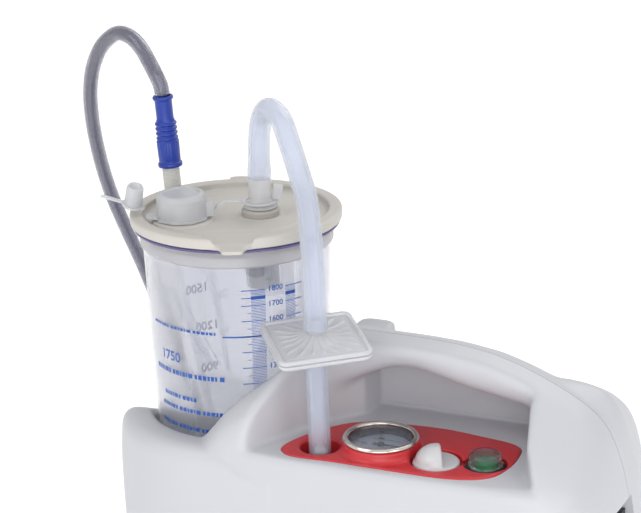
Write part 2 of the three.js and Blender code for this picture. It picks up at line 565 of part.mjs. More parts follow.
// ---- patient hose: up from the lid, over, down behind the bottle, and its spare length in a coil ----
const HOSE_ROUTE = [
  [-147, 7.2, 324.4], [-147.8, 7, 330], [-150.6, 7.2, 336], [-155.3, 8.6, 343], [-161.6, 10.9, 351],
  [-170.5, 14.6, 357.2], [-183, 19.6, 358.6], [-199, 27, 348.8], [-211.3, 34.5, 332.8], [-219.6, 42.5, 314.4],
  [-224.8, 51, 294], [-227.6, 60, 271.5], [-228, 68, 249.9], [-226.3, 76, 227.8], [-221.5, 83, 205],
  [-214.5, 88.5, 181], [-206, 93, 152], [-198, 97, 120], [-190, 100.5, 88], [-181, 104, 56], [-169, 107, 29],
  [-152, 109.4, 10.5], [-131, 110.7, 5.1], [-112, 111, 5.1], [-92, 111, 5.1], [-72, 111, 5.1],
];

function makePatientHose() {
  piece('patient_hose', tube(HOSE_ROUTE, HOSE_R, 44, 8), 0x8a8790, 0.3);
  const { x, y, r } = COIL;
  const [inner, middle, outer] = [r - HOSE_R, r + HOSE_R, r + 3 * HOSE_R];
  const [low, step, top] = [0.1, 2 * HOSE_R + 0.1, 4 * HOSE_R + 0.2];
  const coil = turned([[inner, low], [outer, low], [outer, step], [middle, step], [middle, top], [inner, top],
    [inner, low]], x, y, 18);
  piece('hose_coil', coil, 0x8a8790, 0.3);
  const end = turnedX([[2.4, 0], [5.4, 0], [6.6, 4], [7.4, 20], [8.6, 22], [8.6, 30], [4, 30], [4, 18],
    [2.4, 16],
    [2.4, 0]], 0, 0, 16);
  piece('hose_end_funnel', end.translate([FUNNEL.x, FUNNEL.y, FUNNEL.z]), 0x3b62b8, 0.4);
}

// ---- pump, motor and electrics ----
function makePump() {
  const { x0, x1, y, z, r } = MOTOR;
  const crank = { x0: 34, x1: x0 - GAP };
  const body = turnedX([[4, x0], [r, x0], [r, x1], [10, x1], [10, x1 + 4], [4, x1 + 4], [4, x0]], y, z, 24);
  piece('motor', body, 0x8f9297, 0.35, 0.9);
  const shaft = turnedX([[0, crank.x0 + 8], [3.2, crank.x0 + 8], [3.2, x1 + 16], [0, x1 + 16]], y, z, 12);
  piece('motor_shaft', shaft, 0xb9bcc2, 0.2, 1);
  const crankcase = box(crank.x0, crank.x1, y - 20, y + 20, z - 24, z + 34)
    .subtract(box(crank.x0 + 4, crank.x1 - 4, y - 16, y + 16, z - 20, z + 40))
    .subtract(turnedX([[0, crank.x0 + 10], [5, crank.x0 + 10], [5, crank.x1 + 2], [0, crank.x1 + 2]], y, z,
      14));
  let feet = box(crank.x0, x1, y - 22, y + 22, FEET + WALL + 4, z - 24)
    .subtract(turnedX([[0, crank.x1], [r + GAP, crank.x1], [r + GAP, 200], [0, 200]], y, z, 24));
  for (const [px, py] of [[8, -15], [8, 15], [84, -15], [84, 15]]) {
    feet = feet.add(disc(5, FEET + WALL + GAP, FEET + WALL + 5, crank.x0 + px, y + py, 12));
  }
  piece('crankcase', crankcase.add(feet), 0xa5a8ad, 0.4, 0.8);
  const cx = (crank.x0 + crank.x1) / 2;
  const drop = 3.5;      // how far the rod's head sits below the diaphragm's highest place
  const eccentric = turnedX([[3.5, cx - 5], [12, cx - 5], [12, cx + 5], [3.5, cx + 5], [3.5, cx - 5]], y, z,
    20);
  piece('eccentric', eccentric, 0x7d8086, 0.3, 1);
  const big = turnedX([[12.4, cx - 4], [16, cx - 4], [16, cx + 4], [12.4, cx + 4], [12.4, cx - 4]], y, z, 20);
  const rod = box(cx - 3, cx + 3, y - 3, y + 3, z + 14, z + 32 - drop);
  const foot = disc(8, z + 31.2 - drop, z + 33.4 - drop, cx, y, 16);
  piece('connecting_rod', big.add(rod).add(foot), 0xc8cacf, 0.3, 0.9);
  const rubber = disc(17, z + 34.3, z + 36.3, cx, y, 18).add(disc(8, z + 33.4 - drop + GAP, z + 35, cx, y, 16));
  piece('diaphragm', rubber, 0x2c2c2e, 0.8);
  const head = box(crank.x0, crank.x1, y - 20, y + 20, z + 36.6, z + 56)
    .subtract(box(crank.x0 + 6, crank.x1 - 6, y - 14, y + 14, z + 36, z + 41));
  const ports = disc(4, z + 55, z + 66, cx - 10, y, 12).add(disc(4, z + 55, z + 66, cx + 10, y, 12));
  piece('pump_head', head.add(ports), 0x55585d, 0.5, 0.3);
  let fan = turnedX([[3.5, x1 + 6], [7, x1 + 6], [7, x1 + 14], [3.5, x1 + 14], [3.5, x1 + 6]], y, z, 12);
  for (let i = 0; i < 6; i++) {
    const blade = box(x1 + 9, x1 + 11, -3.5, 3.5, 6, 20).rotate([60 * i, 0, 0]).translate([0, y, z]);
    fan = fan.add(blade);
  }
  piece('cooling_fan', fan, 0x3a3c40, 0.6);
}

function makeElectrics() {
  const floor = FEET + WALL;
  const core = box(72, 124, -62, -22, floor + GAP, floor + 12)
    .add(box(80, 116, -56, -28, floor + 10, floor + 44))
    .add(box(76, 120, -52, -32, floor + 12, floor + 38));
  piece('power_supply', core, 0x6b5a3c, 0.6, 0.2);
  const board = box(8, 62, -62, -20, floor + 6, floor + 8).add(box(14, 28, -56, -42, floor + 8, floor + 20))
    .add(box(36, 56, -56, -46, floor + 8, floor + 16)).add(disc(5, floor + 8, floor + 26, 22, -28, 12));
  const legs = [[11, -59], [59, -59], [11, -23], [59, -23]].map(([x, y]) => disc(2.5, floor + GAP, floor + 7,
    x, y, 8));
  piece('control_board', legs.reduce((all, leg) => all.add(leg), board), 0x2c6b48, 0.5);
  const y0 = INLET.y - INLET.half;
  const y1 = INLET.y + INLET.half;
  const body = box(INLET.face - 22, INLET.face, y0, y1, INLET.z0, INLET.z1);
  const mouth = box(INLET.face - 16, INLET.face + 5, y0 + 3, y1 - 3, INLET.z0 + 3, INLET.z1 - 3);
  let socket = body.subtract(mouth);
  for (const [dy, dz] of [[-7, -3.5], [0, 3.5], [7, -3.5]]) {
    const [py, pz] = [INLET.y + dy, (INLET.z0 + INLET.z1) / 2 + dz];
    socket = socket.add(box(INLET.face - 18, INLET.face - 3, py - 1, py + 1, pz - 2.5, pz + 2.5));
  }
  piece('mains_inlet', socket, 0x26282b, 0.5);
  piece('silencer', turnedX([[0, -30], [11, -30], [13, -26], [13, 10], [11, 14], [4, 14], [4, 19], [0, 19]],
    40, 38, 14),
    0x3d4045, 0.6);
  const hoseTo = (name, route, steps) => piece(name, tube(route, 3.4, steps, 8), 0xb4b6ba, 0.5);
  hoseTo('silencer_hose', [[20.8, 40, 38], [24, 40.4, 39.5], [27, 42, 48], [28, 45, 66], [28.6, 46, 88],
    [31, 42, 108],
    [36, 35, 118], [41, 28.6, 118.6], [42.8, 26, 111.8]], 20);
  hoseTo('vacuum_hose', [[77, KNOB.y, 99], [83, KNOB.y, 95], [92, -36, 94], [93, -12, 103], [84, 10, 114],
    [73, 21, 118.6], [65, 25.6, 118.4], [62.8, 26, 111.8]], 20);
  hoseTo('inlet_hose', [[PORT.x, PORT.y, 91.4], [PORT.x, PORT.y, 84], [-10, -52, 77], [6, -50, 79],
    [20, -48, 90],
    [27, KNOB.y, 98], [33.6, KNOB.y, 99]], 16);
}

makeCase();
makePanel();
makeGauge();
makeRegulator();
makeSwitch();
makeInlet();
makeFilter();
makeSuctionTube();
makeBottle();
makeLid();
makePourCap();
makeVacuumPort();
makeTethers();
makePatientFitting();
makePatientHose();
makePump();
makeElectrics();

export default object;
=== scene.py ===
# Looks of a portable suction pump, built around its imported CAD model.
# Shapes are written in millimetres in the case's own coordinates (+X towards the control end, -Y the front,
# y = 0 the middle of the case) and turned into metres in the model's frame by place().
import math

import bpy
import numpy as np
from mathutils import Matrix, Vector


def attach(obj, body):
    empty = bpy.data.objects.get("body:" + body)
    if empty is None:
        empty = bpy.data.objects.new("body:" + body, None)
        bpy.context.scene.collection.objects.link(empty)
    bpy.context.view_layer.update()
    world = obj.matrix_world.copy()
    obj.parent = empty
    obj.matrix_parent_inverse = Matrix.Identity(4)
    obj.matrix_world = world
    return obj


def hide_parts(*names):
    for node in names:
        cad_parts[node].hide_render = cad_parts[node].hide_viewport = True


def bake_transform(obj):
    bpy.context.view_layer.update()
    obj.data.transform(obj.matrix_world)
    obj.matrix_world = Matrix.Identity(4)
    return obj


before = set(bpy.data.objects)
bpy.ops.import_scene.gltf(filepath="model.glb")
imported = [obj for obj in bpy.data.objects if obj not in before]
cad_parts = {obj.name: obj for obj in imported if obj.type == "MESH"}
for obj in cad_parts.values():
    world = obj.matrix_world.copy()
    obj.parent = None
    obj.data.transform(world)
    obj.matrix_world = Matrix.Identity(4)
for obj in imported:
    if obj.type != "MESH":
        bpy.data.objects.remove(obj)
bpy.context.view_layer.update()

MM = 0.001
CASE_MIDDLE = np.array((3.56, 6.88, 0.0))      # where the case's own origin lies in the model's frame


def place(points):
    """Millimetres in the case's coordinates to metres in the model's frame."""
    return (np.asarray(points, float) + CASE_MIDDLE) * MM


# ---- driving dimensions, as in the CAD ----
FEET, WALL, FLOOR_Z = 6.0, 3.0, 128.0
HALF_DEPTH, RIGHT_END, RIGHT_CORNER = 80.0, 168.0, 60.0
WELL_X, WELL_FLOOR, WELL_GAP = -95.0, 20.2, 3.2
RECESS_BACK, HANDLE_FRONT, WALL_BACK, SCOOP_Z = 25.0, -16.0, 29.0, 140.0
BOTTLE_BASE_Z, BOTTLE_TOP_Z, BOTTLE_R, TAPER, BOTTLE_WALL = 20.5, 252.0, 51.5, 0.035, 1.6
LID_R, LID_Z = 66.5, 256.0
PANEL_Z = 129.0
PORT, GAUGE, KNOB, SWITCH = (-18.0, -53.0), (18.0, -43.5), (55.0, -47.5), (84.0, -42.0)
VACUUM, SPIGOT, POUR, POUR_R = (-78.0, 0.0), (-143.0, 9.0), (-119.6, -25.6), 15.8
FITTING_Z = LID_Z - 1.6         # what the lid's fittings stand on
HOSE_R, HOSE_WALL = 4.8, 1.5
SUCTION_R, SUCTION_BORE, PORT_TUBE_BORE = 6.8, 4.9, 5.0
COIL, COIL_R, COIL_TURNS = (-40.0, 172.0), 50.0, 2.5
FUNNEL = (-40.0, 150.0, 8.8)


def bottle_radius(z):
    return BOTTLE_R + (z - BOTTLE_BASE_Z) * TAPER


# ---- camera, lights, floor ----
AZIMUTH, PITCH, ROLL = (math.radians(a) for a in (24.0, 18.3, 1.5))
CAMERA_AT = Vector((0.44272, -1.06496, 0.61930))
LENS = 112.3


def make_camera():
    right = Vector((math.cos(AZIMUTH), math.sin(AZIMUTH), 0))
    level = math.cos(PITCH)
    back = Vector((math.sin(AZIMUTH) * level, -math.cos(AZIMUTH) * level, math.sin(PITCH)))
    up = right.cross(-back)
    x = right * math.cos(ROLL) - up * math.sin(ROLL)
    y = up * math.cos(ROLL) + right * math.sin(ROLL)
    data = bpy.data.cameras.new("camera")
    data.lens, data.sensor_width = LENS, 36.0
    data.clip_start, data.clip_end = 0.05, 50.0
    camera = bpy.data.objects.new("camera", data)
    camera.matrix_world = Matrix.Translation(CAMERA_AT) @ Matrix((x, y, back)).transposed().to_4x4()
    bpy.context.scene.collection.objects.link(camera)
    bpy.context.scene.camera = camera


def area_light(name, at, target, size, power, colour=(1, 1, 1)):
    data = bpy.data.lights.new(name, "AREA")
    data.shape, data.size, data.energy, data.color = "DISK", size, power, colour
    lamp = bpy.data.objects.new(name, data)
    lamp.location = at
    lamp.rotation_euler = (Vector(target) - Vector(at)).to_track_quat("-Z", "Y").to_euler()
    bpy.context.scene.collection.objects.link(lamp)


def make_studio():
    world = bpy.data.worlds.new("studio")
    bpy.context.scene.world = world
    world.use_nodes = True
    sky = world.node_tree.nodes["Background"]
    sky.inputs["Color"].default_value = (1, 1, 1, 1)
    sky.inputs["Strength"].default_value = 0.7
    area_light("key", (-1.1, -1.3, 1.9), (0, 0, 0.1), 1.4, 10)
    area_light("fill", (1.7, -0.9, 1.0), (0, 0, 0.15), 1.2, 6)
    area_light("front", (0.5, -1.4, 0.5), (0.03, 0, 0.16), 1.2, 8)
    area_light("back", (0.3, 1.6, 1.7), (0, 0, 0.15), 1.6, 12)
    bpy.context.scene.view_settings.view_transform = "Standard"


def make_floor():
    bpy.ops.mesh.primitive_grid_add(x_subdivisions=2, y_subdivisions=2, size=14, location=(0, 0, -0.0002))
    floor = bpy.context.object
    floor.name = "floor"
    floor.data.materials.append(plastic("floor_paper", (254, 254, 254), 0.9, grain=0.0, spread=0.004,
                                        Emission_Strength=0.2))


# ---- materials ----
def rgb(r, g, b):
    """An 8-bit screen colour as the linear colour that a shader takes."""
    return tuple((c / 255) ** 2.2 for c in (r, g, b)) + (1.0,)


def plastic(name, colour, rough, grain=0.02, scale=900, spread=0.05, metal=0.0, **sockets):
    """A shader with fine moulded or drawn grain, a slow drift in colour and an uneven gloss.
    grain is the bump's depth in mm, scale its fineness per metre, and spread how far the colour drifts."""
    made = bpy.data.materials.new(name)
    made.use_nodes = True
    tree = made.node_tree
    shader = tree.nodes["Principled BSDF"]
    shader.inputs["Metallic"].default_value = metal
    for socket, value in sockets.items():
        shader.inputs[socket.replace("_", " ")].default_value = value
    where = tree.nodes.new("ShaderNodeTexCoord")
    fine = noise(tree, where, scale, 3)
    broad = noise(tree, where, 28, 4)
    mix = tree.nodes.new("ShaderNodeMix")
    mix.data_type = "RGBA"
    base = rgb(*colour)
    mix.inputs[6].default_value = tuple(c * (1 - spread) for c in base[:3]) + (1,)
    mix.inputs[7].default_value = tuple(min(1, c * (1 + spread)) for c in base[:3]) + (1,)
    tree.links.new(broad.outputs["Fac"], mix.inputs[0])
    tree.links.new(mix.outputs[2], shader.inputs["Base Color"])
    gloss = tree.nodes.new("ShaderNodeMapRange")
    gloss.inputs["To Min"].default_value = rough * 0.85
    gloss.inputs["To Max"].default_value = min(1, rough * 1.15)
    tree.links.new(broad.outputs["Fac"], gloss.inputs["Value"])
    tree.links.new(gloss.outputs["Result"], shader.inputs["Roughness"])
    if grain:
        bump = tree.nodes.new("ShaderNodeBump")
        bump.inputs["Distance"].default_value = grain * MM
        bump.inputs["Strength"].default_value = 0.6
        tree.links.new(fine.outputs["Fac"], bump.inputs["Height"])
        tree.links.new(bump.outputs["Normal"], shader.inputs["Normal"])
    return made


def noise(tree, where, scale, detail):
    node = tree.nodes.new("ShaderNodeTexNoise")
    node.inputs["Scale"].default_value = scale
    node.inputs["Detail"].default_value = detail
    tree.links.new(where.outputs["Object"], node.inputs["Vector"])
    return node


def clear(name, colour, rough, ior=1.46, grain=0.0, transmission=1.0, **sockets):
    """A see-through plastic, with the same drift and grain."""
    return plastic(name, colour, rough, grain, scale=400, spread=0.02, IOR=ior,
                   Transmission_Weight=transmission, **sockets)


# ---- mesh helpers ----
def piece(name, verts, faces, material, body, slot=None, replaces=(), smooth=40):
    """A mesh from millimetre points, riding on a body, with edges sharper than `smooth` degrees kept."""
    mesh = bpy.data.meshes.new(name)
    mesh.from_pydata(place(verts).tolist(), [], [tuple(int(i) for i in f) for f in faces])
    mesh.validate()
    made = bpy.data.objects.new(name, mesh)
    bpy.context.scene.collection.objects.link(made)
    return dress(made, material, body, slot, replaces, smooth)


def dress(made, material, body, slot=None, replaces=(), smooth=40):
    made.data.materials.clear()
    made.data.materials.append(material)
    made.data.shade_smooth()
    if smooth < 180:
        made.data.set_sharp_from_angle(angle=math.radians(smooth))
    if body:
        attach(made, body)
    if replaces:
        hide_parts(*replaces)
    return made


def rounded(corners, radius, closed=False, steps=5):
    """A polyline with its corners turned into arcs. radius is one number, or one for each corner."""
    pts = [np.array(p, float) for p in corners]
    radii = [radius] * len(pts) if np.isscalar(radius) else list(radius)
    out = []
    for i, p in enumerate(pts):
        if not closed and i in (0, len(pts) - 1):
            out.append(p)
            continue
        a, b = pts[i - 1] - p, pts[(i + 1) % len(pts)] - p
        la, lb = np.linalg.norm(a), np.linalg.norm(b)
        a, b = a / la, b / lb
        half = math.acos(np.clip(a @ b, -1, 1)) / 2
        if half > math.radians(86) or radii[i] <= 0:
            out.append(p)
            continue
        reach = min(radii[i] / math.tan(half), 0.48 * min(la, lb))
        for t in np.linspace(0, 1, steps):
            out.append(p + a * reach * (1 - t) ** 2 + b * reach * t ** 2)
    return np.array(out)


def lathe(profile, at=(0, 0), segments=96, closed=True):
    """Turns (radius, z) pairs about a vertical axis. Points on the axis become one point."""
    prof = np.asarray(profile, float)
    turn = np.arange(segments) * 2 * math.pi / segments
    verts, rings = [], []
    for r, z in prof:
        if r < 1e-6:
            rings.append([len(verts)] * segments)
            verts.append((at[0], at[1], z))
        else:
            rings.append(list(range(len(verts), len(verts) + segments)))
            verts += [(at[0] + r * math.cos(a), at[1] + r * math.sin(a), z) for a in turn]
    faces = []
    count = len(rings)
    for i in range(count if closed else count - 1):
        low, high = rings[i], rings[(i + 1) % count]
        for k in range(segments):
            n = (k + 1) % segments
            loop = [low[k], low[n], high[n], high[k]]
            loop = [v for j, v in enumerate(loop) if v != loop[j - 1]]
            if len(loop) > 2:
                faces.append(loop)
    return np.array(verts), outward(verts, faces)


def outward(verts, faces):
    """The faces, turned round if the closed shape they make is inside out."""
    v = np.asarray(verts, float)
    volume = 0.0
    for f in faces:
        for i in range(1, len(f) - 1):
            volume += np.dot(v[f[0]], np.cross(v[f[i]], v[f[i + 1]]))
    return [list(reversed(f)) for f in faces] if volume < 0 else faces


def turned(profile, radius, at=(0, 0), segments=96, closed=True):
    """A lathed profile with its corners rounded."""
    return lathe(rounded(profile, radius, closed=closed), at, segments, closed)


def smooth_line(points, spacing):
    """Points evenly along the smooth curve through a route."""
    p = np.asarray(points, float)
    ends = [2 * p[0] - p[1], *p, 2 * p[-1] - p[-2]]
    out = []
    for a, b, c, d in zip(ends, ends[1:], ends[2:], ends[3:]):
        ta, tb, tc = (max(np.linalg.norm(v - u), 1e-6) ** 0.5 for u, v in ((a, b), (b, c), (c, d)))
        m1 = (c - b) / tb - (c - a) / (ta + tb) + (b - a) / ta
        m2 = (d - c) / tc - (d - b) / (tb + tc) + (c - b) / tb
        m1, m2 = m1 * tb, m2 * tb
        for t in np.linspace(0, 1, 24, endpoint=False):
            out.append((2 * t**3 - 3 * t**2 + 1) * b + (t**3 - 2 * t**2 + t) * m1
                       + (-2 * t**3 + 3 * t**2) * c + (t**3 - t**2) * m2)
    out = np.array(out + [p[-1]])
    along = np.r_[0, np.cumsum(np.linalg.norm(np.diff(out, axis=0), axis=1))]
    at = np.linspace(0, along[-1], max(2, int(round(along[-1] / spacing)) + 1))
    return np.stack([np.interp(at, along, out[:, i]) for i in range(3)], axis=1)


def frames_along(path):
    """A side and an up vector at each point of a path, turning as little as they can."""
    tangent = np.gradient(path, axis=0)
    tangent /= np.linalg.norm(tangent, axis=1)[:, None]
    side = np.cross(tangent[0], (0.1, 0.2, 1.0) if abs(tangent[0][2]) < 0.9 else (1.0, 0.1, 0.0))
    sides = []
    for t in tangent:
        side = side - (side @ t) * t
        side /= np.linalg.norm(side)
        sides.append(side)
    sides = np.array(sides)
    return sides, np.cross(tangent, sides)


def sweep(path, sections, sides=24):
    """A closed skin round a path. sections holds the outside and perhaps a bore, each as an array with one
    radius for each point of the path."""
    side, up = frames_along(path)
    turn = np.arange(sides) * 2 * math.pi / sides
    circle = np.cos(turn)[None, :, None] * side[:, None, :] + np.sin(turn)[None, :, None] * up[:, None, :]
    verts = np.concatenate([(path[:, None, :] + circle * np.asarray(r)[:, None, None]).reshape(-1, 3)
                            for r in sections])
    count, faces = len(path), []

    def at(layer, i, k):
        return (layer * count + i) * sides + k % sides

    for layer in range(len(sections)):
        for i in range(count - 1):
            for k in range(sides):
                f = [at(layer, i, k), at(layer, i, k + 1), at(layer, i + 1, k + 1), at(layer, i + 1, k)]
                faces.append(f if layer == 0 else f[::-1])
    for i in (0, count - 1):
        if len(sections) == 1:
            cap = [at(0, i, k) for k in range(sides)]
            faces.append(cap[::-1] if i == 0 else cap)
            continue
        for k in range(sides):
            f = [at(0, i, k), at(1, i, k), at(1, i, k + 1), at(0, i, k + 1)]
            faces.append(f if i == 0 else f[::-1])
    return verts, outward(verts, faces)


# ---- shapes from a distance field ----
def smooth_max(a, b, k):
    h = np.clip(0.5 + 0.5 * (a - b) / k, 0, 1)
    return b + (a - b) * h + k * h * (1 - h)


def smooth_min(a, b, k):
    return -smooth_max(-a, -b, k)


def off_axis(x, y, at):
    """Distance in plan from a vertical axis."""
    return np.hypot(x - at[0], y - at[1])


def corner_distance(x, y, radius):
    """Distance to a rounded corner. x and y are measured outwards from the middle of its arc."""
    return np.hypot(np.maximum(x, 0), np.maximum(y, 0)) + np.minimum(np.maximum(x, y), 0) - radius


def outline_distance(x, y, corners):
    """Signed distance to a closed outline, negative inside."""
    p = np.asarray(corners, float)
    best, inside = np.full(np.shape(x), 1e9), np.zeros(np.shape(x), bool)
    for (ax, ay), (bx, by) in zip(p, np.roll(p, -1, axis=0)):
        ex, ey, wx, wy = bx - ax, by - ay, x - ax, y - ay
        t = np.clip((wx * ex + wy * ey) / (ex * ex + ey * ey), 0, 1)
        best = np.minimum(best, (wx - t * ex) ** 2 + (wy - t * ey) ** 2)
        crosses = (ay > y) != (by > y)
        if ey:
            inside ^= crosses & (x < ax + ex * (y - ay) / ey)
    return np.where(inside, -1, 1) * np.sqrt(best)


def net(field, low, high, cell):
    """The surface where field(x, y, z) is 0, as one smooth closed mesh of quads, with its points on it."""
    axes = [np.arange(a - 1.5 * cell, b + 2.5 * cell, cell) for a, b in zip(low, high)]
    shape = tuple(len(a) for a in axes)
    value = np.empty(shape)
    for k, z in enumerate(axes[2]):
        gx, gy = np.meshgrid(axes[0], axes[1], indexing="ij")
        value[:, :, k] = field(gx, gy, np.full(gx.shape, z))
    inside = value < 0
    corner = [(i, j, k) for i in (0, 1) for j in (0, 1) for k in (0, 1)]

    def shifted(array, c):
        return array[tuple(slice(o, n - 1 + o) for o, n in zip(c, shape))]

    count = sum(shifted(inside, c).astype(np.int8) for c in corner)
    mixed = (count > 0) & (count < 8)
    index = np.full(mixed.shape, -1)
    index[mixed] = np.arange(mixed.sum())
    where = np.argwhere(mixed)
    total, hits = np.zeros((len(where), 3)), np.zeros(len(where))
    for a in corner:
        for axis in range(3):
            if a[axis]:
                continue
            b = tuple(1 if n == axis else o for n, o in enumerate(a))
            va, vb = shifted(value, a)[mixed], shifted(value, b)[mixed]
            cut = (va < 0) != (vb < 0)
            t = np.where(cut, va / np.where(cut, va - vb, 1), 0)
            point = np.tile(np.array(a, float), (len(where), 1))
            point[:, axis] = t
            total += point * cut[:, None]
            hits += cut
    verts = (where + total / hits[:, None]) * cell + [a[0] for a in axes]
    faces = []
    for axis in range(3):
        u, v = [n for n in range(3) if n != axis]
        first = inside[tuple(slice(0, -1) if n == axis else slice(1, -1) for n in range(3))]
        second = inside[tuple(slice(1, None) if n == axis else slice(1, -1) for n in range(3))]
        edge = np.argwhere(first != second)
        flip = first[first != second]
        loop = []
        for du, dv in ((0, 0), (1, 0), (1, 1), (0, 1)):
            at = edge.copy()
            at[:, u] += du
            at[:, v] += dv
            loop.append(index[at[:, 0], at[:, 1], at[:, 2]])
        quad = np.stack(loop, axis=1)
        swap = flip if axis != 1 else ~flip
        quad[~swap] = quad[~swap][:, ::-1]
        faces.append(quad)
    for _ in range(3):
        verts -= pull(field, verts, cell)
    return verts, np.concatenate(faces)


def pull(field, verts, cell):
    """How far each point has to move to reach the surface, kept under half a cell."""
    h = 0.25 * cell
    here = field(*verts.T)
    ahead, behind = ([field(*(verts + way * e).T) for e in np.eye(3)] for way in (h, -h))
    slope = (np.stack(ahead, axis=1) - np.stack(behind, axis=1)) / (2 * h)
    step = slope * (here / np.maximum((slope**2).sum(axis=1), 0.05))[:, None]
    size = np.linalg.norm(step, axis=1)
    return step * np.minimum(1, 0.5 * cell / np.maximum(size, 1e-9))[:, None]


def cut(target, cutter, operation="DIFFERENCE"):
    """Applies a boolean with the fast solver, and removes the cutter."""
    step = target.modifiers.new("cut", "BOOLEAN")
    step.operation, step.object, step.solver = operation, cutter, "MANIFOLD"
    graph = bpy.context.evaluated_depsgraph_get()
    mesh = bpy.data.meshes.new_from_object(target.evaluated_get(graph))
    target.modifiers.clear()
    if len(mesh.vertices) < 8:
        raise RuntimeError(f"the cut left nothing of {target.name}")
    target.data = mesh
    bpy.data.objects.remove(cutter)


def loose(name, verts, faces):
    """A plain mesh object in place, to cut or join with."""
    mesh = bpy.data.meshes.new(name)
    mesh.from_pydata(place(verts).tolist(), [], [tuple(int(i) for i in f) for f in faces])
    made = bpy.data.objects.new(name, mesh)
    bpy.context.scene.collection.objects.link(made)
    return made


def prism(outline, z0, z1):
    """A plain extrusion of a plan outline."""
    p = np.asarray(outline, float)
    n = len(p)
    verts = np.concatenate([np.c_[p, np.full(n, z0)], np.c_[p, np.full(n, z1)]])
    faces = [list(range(n))[::-1], list(range(n, 2 * n))]
    faces += [[i, (i + 1) % n, n + (i + 1) % n, n + i] for i in range(n)]
    return verts, outward(verts, faces)


def block(x0, x1, y0, y1, z0, z1):
    return prism([(x0, y0), (x1, y0), (x1, y1), (x0, y1)], z0, z1)


# ---- the camera and the patient hose come first ----
make_camera()
make_studio()
make_floor()

HOSE_ROUTE = [
    (-147, 7.2, 324.4), (-147.8, 7, 330), (-150.6, 7.2, 336), (-155.3, 8.6, 343), (-161.6, 10.9, 351),
    (-170.5, 14.6, 357.2), (-183, 19.6, 358.6), (-199, 27, 348.8), (-211.3, 34.5, 332.8),
    (-219.6, 42.5, 314.4), (-224.8, 51, 294), (-227.6, 60, 271.5), (-228, 68, 249.9),
    (-226.3, 76, 227.8), (-221.5, 83, 205), (-214.5, 88.5, 181), (-206, 93, 152), (-198, 97, 120),
    (-190, 100.5, 88), (-181, 104, 56), (-169, 107, 29), (-152, 109.4, 10.5), (-131, 110.7, 5.1),
    (-112, 111, 5.1), (-92, 111, 5.1), (-72, 111, 5.1),
]


def coil_turns():
    """One turn outside, one inside and raised, half a turn inside on the floor, then a half circle to the
    funnel."""
    low, high = HOSE_R + 0.3, 3 * HOSE_R + 0.4
    outer, inner = COIL_R + 2 * HOSE_R, COIL_R
    stations = [    # (turns so far, radius, height)
        (0.0, outer + 1.4, low), (0.12, outer, low), (0.95, outer, low), (1.12, inner, high),
        (1.95, inner, high), (2.15, inner, low), (COIL_TURNS, inner, low),
    ]
    turns, radius, height = np.array(stations).T
    out = []
    for t in np.arange(0, COIL_TURNS + 1e-9, 1 / 48):
        a = 2 * math.pi * t - math.pi / 2
        r, z = np.interp(t, turns, radius), np.interp(t, turns, height)
        out.append((COIL[0] + r * math.cos(a), COIL[1] + r * math.sin(a), z))
    bend = (COIL[1] + inner - FUNNEL[1]) / 2
    for a in np.linspace(0, math.pi, 17)[1:]:
        z = low + (FUNNEL[2] - low) * a / math.pi
        out.append((COIL[0] - bend * math.sin(a), COIL[1] + inner - bend + bend * math.cos(a), z))
    return out


def make_hose():
    path = smooth_line(HOSE_ROUTE + coil_turns(), 3.0)
    ones = np.ones(len(path))
    verts, faces = sweep(path, [ones * HOSE_R, ones * (HOSE_R - HOSE_WALL)], 20)
    pvc = clear("hose_pvc", (152, 152, 166), 0.1, 1.5, grain=0.004, transmission=0.85, Alpha=0.85)
    hose = piece("patient_hose_tube", verts, faces, pvc, None, "hose_pvc", ("patient_hose", "hose_coil"))
    outline = [(2.6, 0), (5.2, 0), (6.4, 4), (7.2, 19), (8.4, 21), (8.6, 30), (7.2, 30), (4.2, 24),
               (4.2, 17), (2.6, 15)]
    verts, faces = turned(outline, 0.7, segments=40)
    lying = np.c_[verts[:, 2], verts[:, 0], verts[:, 1]] + np.array(FUNNEL)
    funnel = piece("hose_funnel", lying, faces, connector_blue, "root", "connector_blue",
                   ("hose_end_funnel",))
    place(HOSE_ROUTE[10])
    place(HOSE_ROUTE[23])
    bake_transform(hose)
    place(HOSE_ROUTE[0])
    place(path)


connector_blue = plastic("connector_blue", (26, 54, 146), 0.34, grain=0.01, spread=0.06)
make_hose()


# ---- the case ----
SPINE = [   # height of the case along its middle, handle included
    (-150, 50), (-130, 86), (-112, 118), (-104, 134), (-93, 152), (-79, 168), (-66, 177), (-45, 184),
    (-20, 187.3), (31, 186.6), (52, 185.4), (75, 182), (93, 176.5), (111, 169), (123, 163), (135, 156),
    (145, 147.5), (153, 133.5), (161, 104.5), (170, 50),
]
RIM = [(-30, 126), (60, 85), (80, 76)]          # the well's rim, from front to back
STOP = dict(x=(-26, -2), y=(17, 37), foot=165, top=181, corner=7)      # the nub behind the handle
INLET = (155, 190, -33, 5, 60, 101)              # the mains inlet's sunk pocket: x, y and z limits
INLET_OPENING = (138, 168, -29.3, 1.3, 65.7, 93.3)
VENTS, VENT_STEP, VENT = 7, 9, (60, 63.4, 72, 85, 30, 62)      # count, spacing, limits of the first slot
SEAM = 0.3                                       # half the gap between the case's halves
TONGUE = (-24, 112, -3, RECESS_BACK - 0.2, 118, 158)     # where the front half reaches behind the seam
CASE_CELL, HOLLOW_CELL, PANEL_CELL = 2.0, 3.0, 0.8       # mesh sizes
TOP_ROUND, HANDLE_ROUND, HAND_ROUND, EDGE_ROUND = 11.0, 15.0, 7.0, 3.0      # how softly edges meet
CROWN = [(0, 0), (15, 2.5), (30, 8), (45, 15), (60, 24), (70, 33), (76, 42), (80, 58), (84, 80), (95, 130)]
SHOULDER = [(106, 0), (118, 5), (126, 8.5), (138, 13), (159, 12), (168, 6)]
